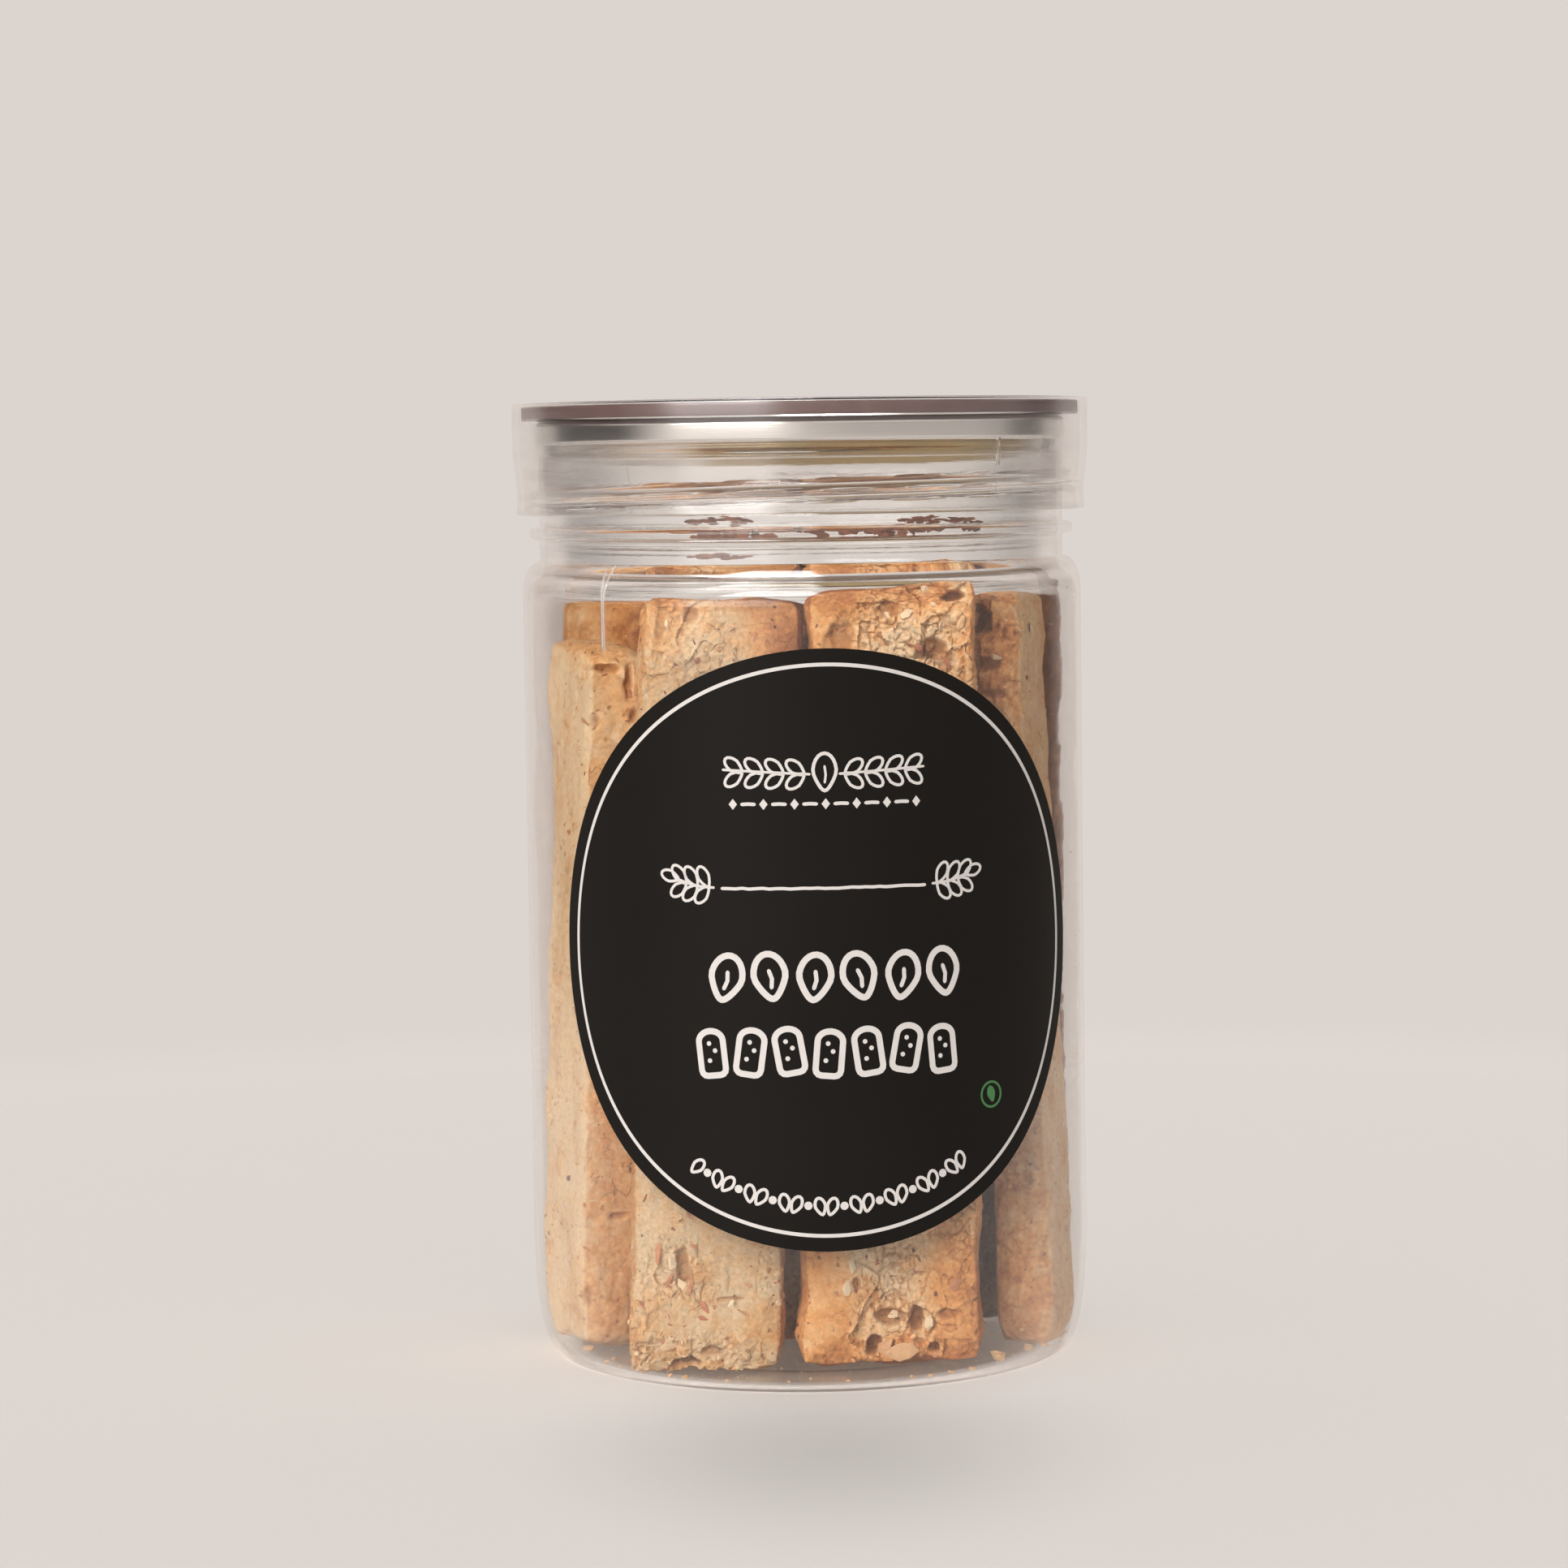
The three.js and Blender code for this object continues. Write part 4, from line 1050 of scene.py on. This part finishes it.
# Across the end, the lacquer sets in and ends between these places; the bare tin left
# beyond the first is a painted highlight.
LACQUER_SPAN = ((-20, -12), (37, 31))
TIN_TONE = (0.86, 0.85, 0.83, 1)
LACQUER_TONE = (0.44, 0.315, 0.095, 1)

hook_in, hook_out, hook_z = HOOK
sink_r, sink_z = COUNTERSINK
metal_outline = [
    (0, PANEL_Z - TIN, 0), (32.6, PANEL_Z - TIN, 0.5), (33.9, sink_z - TIN, 0.4), (36.4, sink_z - TIN, 0.4),
    (hook_in, 140.2, 0.3), (hook_in, hook_z, 0.1), (hook_out, hook_z, 0.1), (hook_out, SEAM_FOOT, 0.05),
    (SEAM_R - 0.3, SEAM_FOOT, 0.15), (SEAM_R, SEAM_FOOT + 0.4, 0.2), (SEAM_R, SEAM_TOP - 0.6, 0.4),
    (SEAM_R - 0.5, SEAM_TOP, 0.3), (CHUCK_R, SEAM_TOP, 0.3), (CHUCK_R - 0.4, SEAM_TOP - 0.6, 0.4),
    (36.0, sink_z, 0.5), (sink_r, sink_z, 0.5), (PANEL_R, PANEL_Z, 0.5), (0, PANEL_Z, 0),
]
metal_end = turned(metal_outline)
metal_end.normal_update()
lacquer_layer = metal_end.verts.layers.float.new("lacquer")
for vert in metal_end.verts:
    inside = math.hypot(vert.co.x, vert.co.y) < LACQUER_R * MM
    # Lacquer left off at the left is a painted highlight.
    within_lacquer_span = math.prod(float(smoothstep(*limits, vert.co.x / MM)) for limits in LACQUER_SPAN)
    vert[lacquer_layer] = within_lacquer_span * float(inside and vert.normal.z < -0.05)
tinplate, tree, place = new_paint("bright_tinplate")
drawn = grained(tree, stretched(tree, place, (60, 60, 4000)), 1.0, 2.0)
lacquered = add_node(tree, "ShaderNodeAttribute", attribute_name="lacquer").outputs["Fac"]
finish(tree, {
    "Base Color": blended(tree, lacquered, TIN_TONE, LACQUER_TONE), "Metallic": 1.0,
    "Roughness": band(tree, drawn, 0, 1, 0.11, 0.21, easing="LINEAR"),
    "Normal": bumped(tree, drawn, 0.15, 0.05 * MM)})
finished("seamed_metal_end", metal_end, tinplate, "bright_metal", "metal_end")

# ---- Sealing ring ---------------------------------------------------------------
# A flat ring of brownish plastic that lies under the lid's top and presses on the
# metal end's seam. Through the clear lid it shows as a dull dark band.

RING_FOOT = 142.62
RING_TOP = 144.66
RING_IN = 38.2
RING_OUT = 42.4
RING_TONES = [(0.0, (0.105, 0.060, 0.058)), (1.0, (0.150, 0.092, 0.088))]

ring = turned([
    (RING_IN, RING_FOOT, 0.1), (RING_OUT, RING_FOOT, 0.25), (RING_OUT, RING_TOP, 0.2),
    (RING_IN, RING_TOP, 0.1), (RING_IN, RING_FOOT, 0)])
ring_paint, tree, place = new_paint("ring_plastic")
ring_tone = toned(tree, grained(tree, place, 260.0, 3.0), RING_TONES)
finish(tree, {"Base Color": ring_tone, "Roughness": 0.32})
finished("sealing_ring_band", ring, ring_paint, "ring_plastic", "sealing_ring")

# ---- Lid ----------------------------------------------------------------------
# A clear screw lid, injection moulded: flat top, slightly tapered skirt with a
# lip at its foot, and one screw thread inside that catches the neck's thread.

LID_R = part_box("lid")[1].x / MM
LID_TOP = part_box("lid")[1].z / MM
LID_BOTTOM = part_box("lid")[0].z / MM
LID_WALL = 1.15
LID_PLATE = 0.4
LID_LIP = (43.35, 1.1)
LID_THREAD = {"depth": 0.95, "half_height": 0.8, "from": -75, "to": 265, "drop": 1.75}
LID_SEAMS = [(41.6, 135, 139), (41.6, 130, 133), (-138.4, 130, 142)]

lid_in = LID_R - LID_WALL
lip_r, lip_height = LID_LIP
# The inner wall's corner points, from the top down.
lid_inside = [
    (lid_in, LID_TOP - 1.3), (lid_in - 0.05, 137.0), (42.3, 133.4), (42.0, 130.4), (42.2, LID_BOTTOM)]


def lid_wall(height):
    """Radius of the lid's inner wall at a height, from its few corner points."""
    rows = lid_inside[::-1]
    return float(np.interp(height, [z for _, z in rows], [r for r, _ in rows]))


lid_heights = np.arange(LID_TOP - 1.4, LID_BOTTOM + 0.4, -THREAD_STEP)
lid_outline = [
    (0, LID_TOP - LID_PLATE, 0), (lid_in, LID_TOP - LID_PLATE, 0.2),
    *[(lid_wall(z), z, 0) for z in lid_heights],
    (42.2, LID_BOTTOM, 0.15), (lip_r, LID_BOTTOM, 0.3), (lip_r, LID_BOTTOM + lip_height, 0.25),
    (43.15, 130.6, 1.2), (43.5, 134.4, 1.2), (LID_R - 0.05, 137.4, 1.2), (LID_R, LID_TOP, 0.3),
    (0, LID_TOP, 0),
]
lid = turned(lid_outline)
helix_ridge(lid, LID_THREAD, True, LID_BOTTOM + 0.5, LID_TOP - 2.3, lid_wall)
lid_plastic = clear_plastic("clear_lid", (1.0, 0.99, 0.98), LID_SEAMS, 0.0)
finished("clear_lid", lid, lid_plastic, "clear_plastic", "lid")

# ---- Label --------------------------------------------------------------------
# A round label of black film, stuck on the front of the body and turned a little
# to the right, printed with a white border line and generic white ornament.

LABEL_HALF_WIDTH = 44.3
LABEL_HALF_HEIGHT = 43.8
LABEL_Z = 65.3
LABEL_TURN = math.radians(4.2)
LABEL_BACK = BODY_R + 0.08
LABEL_THICK = 0.16
FILM_TONES = [(0.0, (0.0085, 0.0072, 0.0062)), (1.0, (0.0120, 0.0102, 0.0088))]


def raise_front(bm, thick, keep_back=False):
    """Give a flat design its thickness, towards -y."""
    raised = bmesh.ops.extrude_face_region(bm, geom=bm.faces[:], use_keep_orig=keep_back)
    front = [g for g in raised["geom"] if isinstance(g, bmesh.types.BMVert)]
    bmesh.ops.translate(bm, vec=(0, -thick * MM, 0), verts=front)
    bmesh.ops.recalc_face_normals(bm, faces=bm.faces[:])


def wrap_on_body(bm, radius):
    """Bend a flat design, drawn in x and z with its relief along -y, round the jar's body."""
    for vert in bm.verts:
        across, relief, up = vert.co / MM
        angle = across / radius + LABEL_TURN
        out = radius - relief
        vert.co = Vector((out * math.sin(angle), -out * math.cos(angle), LABEL_Z + up)) * MM


label = bmesh.new()
spoke = [label.verts.new((LABEL_HALF_WIDTH * MM * i / 24, 0, 0)) for i in range(25)]
for pair in zip(spoke, spoke[1:]):
    label.edges.new(pair)
bmesh.ops.spin(
    label, geom=label.verts[:] + label.edges[:], cent=(0, 0, 0), axis=(0, 1, 0), dvec=(0, 0, 0),
    angle=math.tau, steps=160, use_merge=True, use_duplicate=False)
bmesh.ops.remove_doubles(label, verts=label.verts[:], dist=0.001 * MM)
bmesh.ops.scale(label, vec=(1, 1, LABEL_HALF_HEIGHT / LABEL_HALF_WIDTH), verts=label.verts[:])
bmesh.ops.recalc_face_normals(label, faces=label.faces[:])
if sum(f.normal.y for f in label.faces) > 0:
    bmesh.ops.reverse_faces(label, faces=label.faces[:])
raise_front(label, LABEL_THICK)
wrap_on_body(label, LABEL_BACK)
film, tree, place = new_paint("black_label_film")
cloud = grained(tree, place, 45.0, 4.0)
finish(tree, {
    "Base Color": toned(tree, cloud, FILM_TONES), "Specular IOR Level": 0.11,
    "Roughness": band(tree, cloud, 0, 1, 0.44, 0.58, easing="LINEAR"),
    "Normal": bumped(tree, grained(tree, place, 1500.0, 2.0), 0.1, 0.04 * MM)})
finished("round_label", label, film, "label_paper", "label")

# ---- Label print --------------------------------------------------------------
# White screen print on the film, drawn here as thin raised shapes: a border ring, a
# spray of almond leaves, a divider with sprigs, rows of almonds and of slices, and
# beads along the foot. A small green leaf mark stands at the lower right.

PRINT_BACK = LABEL_BACK + LABEL_THICK - 0.03
PRINT_THICK = 0.05
BORDER_R = 41.95
BORDER_STEPS = 220
SPRAY_FOOT = (-0.2, 23.3)
BEAD_ROW_Z = 21.4
BEADS_R = 37.6


def ribbon(bm, line, width, closed=False):
    """Add a flat stroke of this width along a line of (across, up) points, as faces in the x-z plane."""
    spots = np.array(line, float)
    ahead = np.roll(spots, -1, 0) - spots
    behind = spots - np.roll(spots, 1, 0)
    if not closed:
        ahead[-1] = behind[-1]
        behind[0] = ahead[0]
    ahead /= np.linalg.norm(ahead, axis=1)[:, None]
    behind /= np.linalg.norm(behind, axis=1)[:, None]
    along = ahead + behind
    along /= np.linalg.norm(along, axis=1)[:, None]
    miter = 1 / np.clip((along * ahead).sum(1), 0.55, 1)
    aside = np.stack([-along[:, 1], along[:, 0]], 1) * (miter * width / 2)[:, None]
    if not closed:
        step = along * width / 2
        spots = np.concatenate([[spots[0] - step[0] * 0.9], spots, [spots[-1] + step[-1] * 0.9]])
        aside = np.concatenate([[aside[0] * 0.45], aside, [aside[-1] * 0.45]])
    left = [bm.verts.new((x * MM, 0, z * MM)) for x, z in spots + aside]
    right = [bm.verts.new((x * MM, 0, z * MM)) for x, z in spots - aside]
    count = len(spots)
    for i in range(count if closed else count - 1):
        j = (i + 1) % count
        bm.faces.new((left[i], left[j], right[j], right[i]))


def patch(bm, outline):
    """Add a filled flat shape with this outline of (across, up) points."""
    bm.faces.new([bm.verts.new((x * MM, 0, z * MM)) for x, z in outline])


def placed(points, at, turn=0.0):
    """Turn a drawing by degrees and move its origin to a place."""
    angle = math.radians(turn)
    return [
        (at[0] + x * math.cos(angle) - z * math.sin(angle), at[1] + x * math.sin(angle) + z * math.cos(angle))
        for x, z in points
    ]


def drop_shape(width, height, steps):
    """Outline of an almond or a leaf: round above, and narrower towards its foot at the origin."""
    angles = [math.tau * i / steps for i in range(steps)]
    return [
        (width / 2 * math.sin(a) * (1 - 0.42 * max(0.0, -math.cos(a))),
         height / 2 * (1 - math.cos(a + math.pi)))
        for a in angles
    ]


def slab_shape(width, height, steps):
    """Outline of a slice seen from its cut side: a half-round top on straight sides with round corners."""
    half = width / 2
    corner = 0.9
    crown = half * 0.8
    turns = [math.pi * i / steps for i in range(steps + 1)]
    top = [(half * math.cos(a), height - crown + crown * math.sin(a)) for a in turns]
    foot = [
        (-half + corner * (1 - math.cos(math.pi / 2 * i / 3)), corner * (1 - math.sin(math.pi / 2 * i / 3)))
        for i in range(4)
    ]
    return top + foot + [(-x, z) for x, z in reversed(foot)]


def round_shape(radius, steps):
    """Outline of a dot."""
    angles = [math.tau * i / steps for i in range(steps)]
    return [(radius * math.cos(a), radius * math.sin(a)) for a in angles]


def outlined(bm, shape, at, turn, stroke):
    """Draw a shape in outline, turned by degrees about its foot."""
    ribbon(bm, placed(shape, at, turn), stroke, closed=True)


def print_mesh(bm):
    """Give the flat drawing its thickness and bend it round the jar's body."""
    bmesh.ops.recalc_face_normals(bm, faces=bm.faces[:])
    turned_in = [f for f in bm.faces if f.normal.y > 0]
    bmesh.ops.reverse_faces(bm, faces=turned_in)
    raise_front(bm, PRINT_THICK, keep_back=True)
    wrap_on_body(bm, PRINT_BACK)


white_print = bmesh.new()
border_scale = LABEL_HALF_HEIGHT / LABEL_HALF_WIDTH
border_turns = [math.tau * i / BORDER_STEPS for i in range(BORDER_STEPS)]
ribbon(white_print, [
    (BORDER_R * math.cos(a), BORDER_R * border_scale * math.sin(a)) for a in border_turns], 0.54, closed=True)

# Spray at the top: an upright almond between leaves, over a row of beads and dashes.
outlined(white_print, drop_shape(3.4, 5.4, 22), SPRAY_FOOT, 0, 0.5)
ribbon(white_print, placed([(0, 1.2), (0.15, 2.3), (0, 3.5)], SPRAY_FOOT), 0.34)
for side in (-1, 1):
    for i in range(4):
        root = (SPRAY_FOOT[0] + side * (3.0 + 3.0 * i), 25.7 + 0.12 * i)
        for lean in (52, 128):
            outlined(white_print, drop_shape(1.7, 3.1, 16), root, -side * lean, 0.42)
    stem = [(SPRAY_FOOT[0] + side * (2.2 + 0.9 * i), 25.7 + 0.05 * i) for i in range(15)]
    ribbon(white_print, stem, 0.36)
for i in range(13):
    across = -13.6 + 27.0 * i / 12
    if i % 2:
        dash = [(across - 0.9, BEAD_ROW_Z), (across, BEAD_ROW_Z + 0.05), (across + 0.9, BEAD_ROW_Z)]
        ribbon(white_print, dash, 0.5)
    else:
        patch(white_print, placed([(0, 0.8), (0.62, 0), (0, -0.8), (-0.62, 0)], (across, BEAD_ROW_Z)))

# Divider: an uneven pen line between two sprigs of outlined leaves.
draw = random.Random(9)
ribbon(white_print, [(-15.4 + 30.0 * i / 30, 9.2 + draw.uniform(-0.07, 0.07)) for i in range(31)], 0.46)
for side in (-1, 1):
    foot = -15.8 if side < 0 else 15.0
    stem = [(foot + side * (0.9 + 5.6 * t), 9.3 + 1.1 * t * t) for t in (0, 0.2, 0.4, 0.6, 0.8, 1)]
    ribbon(white_print, stem, 0.38)
    for i in range(3):
        root = (foot + side * (1.7 + 1.75 * i), 9.4 + 0.12 * i * i)
        outlined(white_print, drop_shape(1.7, 3.2, 16), root, -side * (26 + 7 * i), 0.4)
        outlined(white_print, drop_shape(1.7, 3.0, 16), root, -side * (140 - 6 * i), 0.4)
    outlined(white_print, drop_shape(1.6, 2.9, 16), (foot + side * 6.4, 10.4), -side * 72, 0.4)

# Row of almonds, and under it a row of slices.
for i, tilt in enumerate((-14, 9, -6, 15, -10, 8)):
    root = (-15.0 + 6.5 * i + math.sin(math.radians(tilt)) * 3.1, -7.0 + 0.2 * (i % 2))
    outlined(white_print, drop_shape(4.7, 6.6, 26), root, tilt, 0.92)
    ribbon(white_print, placed([(0, 1.7), (0.25, 2.9), (0, 4.1)], root, tilt), 0.6)
for i, tilt in enumerate((6, -8, 10, -5, 8, -11, 5)):
    root = (-17.3 + 5.75 * i + math.sin(math.radians(tilt)) * 3.1, -18.1 + 0.25 * (i % 3))
    outlined(white_print, slab_shape(3.7, 6.5, 12), root, tilt, 0.9)
    for x, z in ((-0.45, 2.2), (0.5, 3.6), (-0.3, 4.7)):
        patch(white_print, placed(placed(round_shape(0.36, 8), (x, z)), root, tilt))

# Beads and grains along the foot.
for i in range(25):
    angle = math.radians(-90 + (-32 + 64 * i / 24))
    spot = (0.1 + BEADS_R * math.cos(angle), BEADS_R * border_scale * math.sin(angle))
    turn = math.degrees(angle) + 90
    if i % 3 == 1:
        patch(white_print, placed(round_shape(0.62, 10), spot))
    else:
        grain_outline = placed(drop_shape(1.5, 2.5, 16), (0, -1.25))
        outlined(white_print, grain_outline, spot, turn + (18 if i % 3 else -18), 0.44)
print_mesh(white_print)


def ink_paint(name, colour):
    """Matt printing ink with a slightly uneven lay."""
    paint, tree, place = new_paint(name)
    lay = band(tree, grained(tree, place, 900.0, 2.0), 0, 1, 0.93, 1.03, easing="LINEAR")
    finish(tree, {"Base Color": dimmed(tree, colour, lay), "Roughness": 0.5, "Specular IOR Level": 0.3})
    return paint


finished("white_print", white_print, ink_paint("white_ink", (0.82, 0.79, 0.77)), "label_print")

green_print = bmesh.new()
mark = (25.8, -22.4)
outlined(green_print, round_shape(1.85, 28), mark, 0, 0.34)
patch(green_print, placed(drop_shape(1.5, 2.5, 20), (mark[0] + 0.3, mark[1] - 1.15), 14))
print_mesh(green_print)
finished("green_print", green_print, ink_paint("green_ink", (0.075, 0.25, 0.085)), "label_mark")
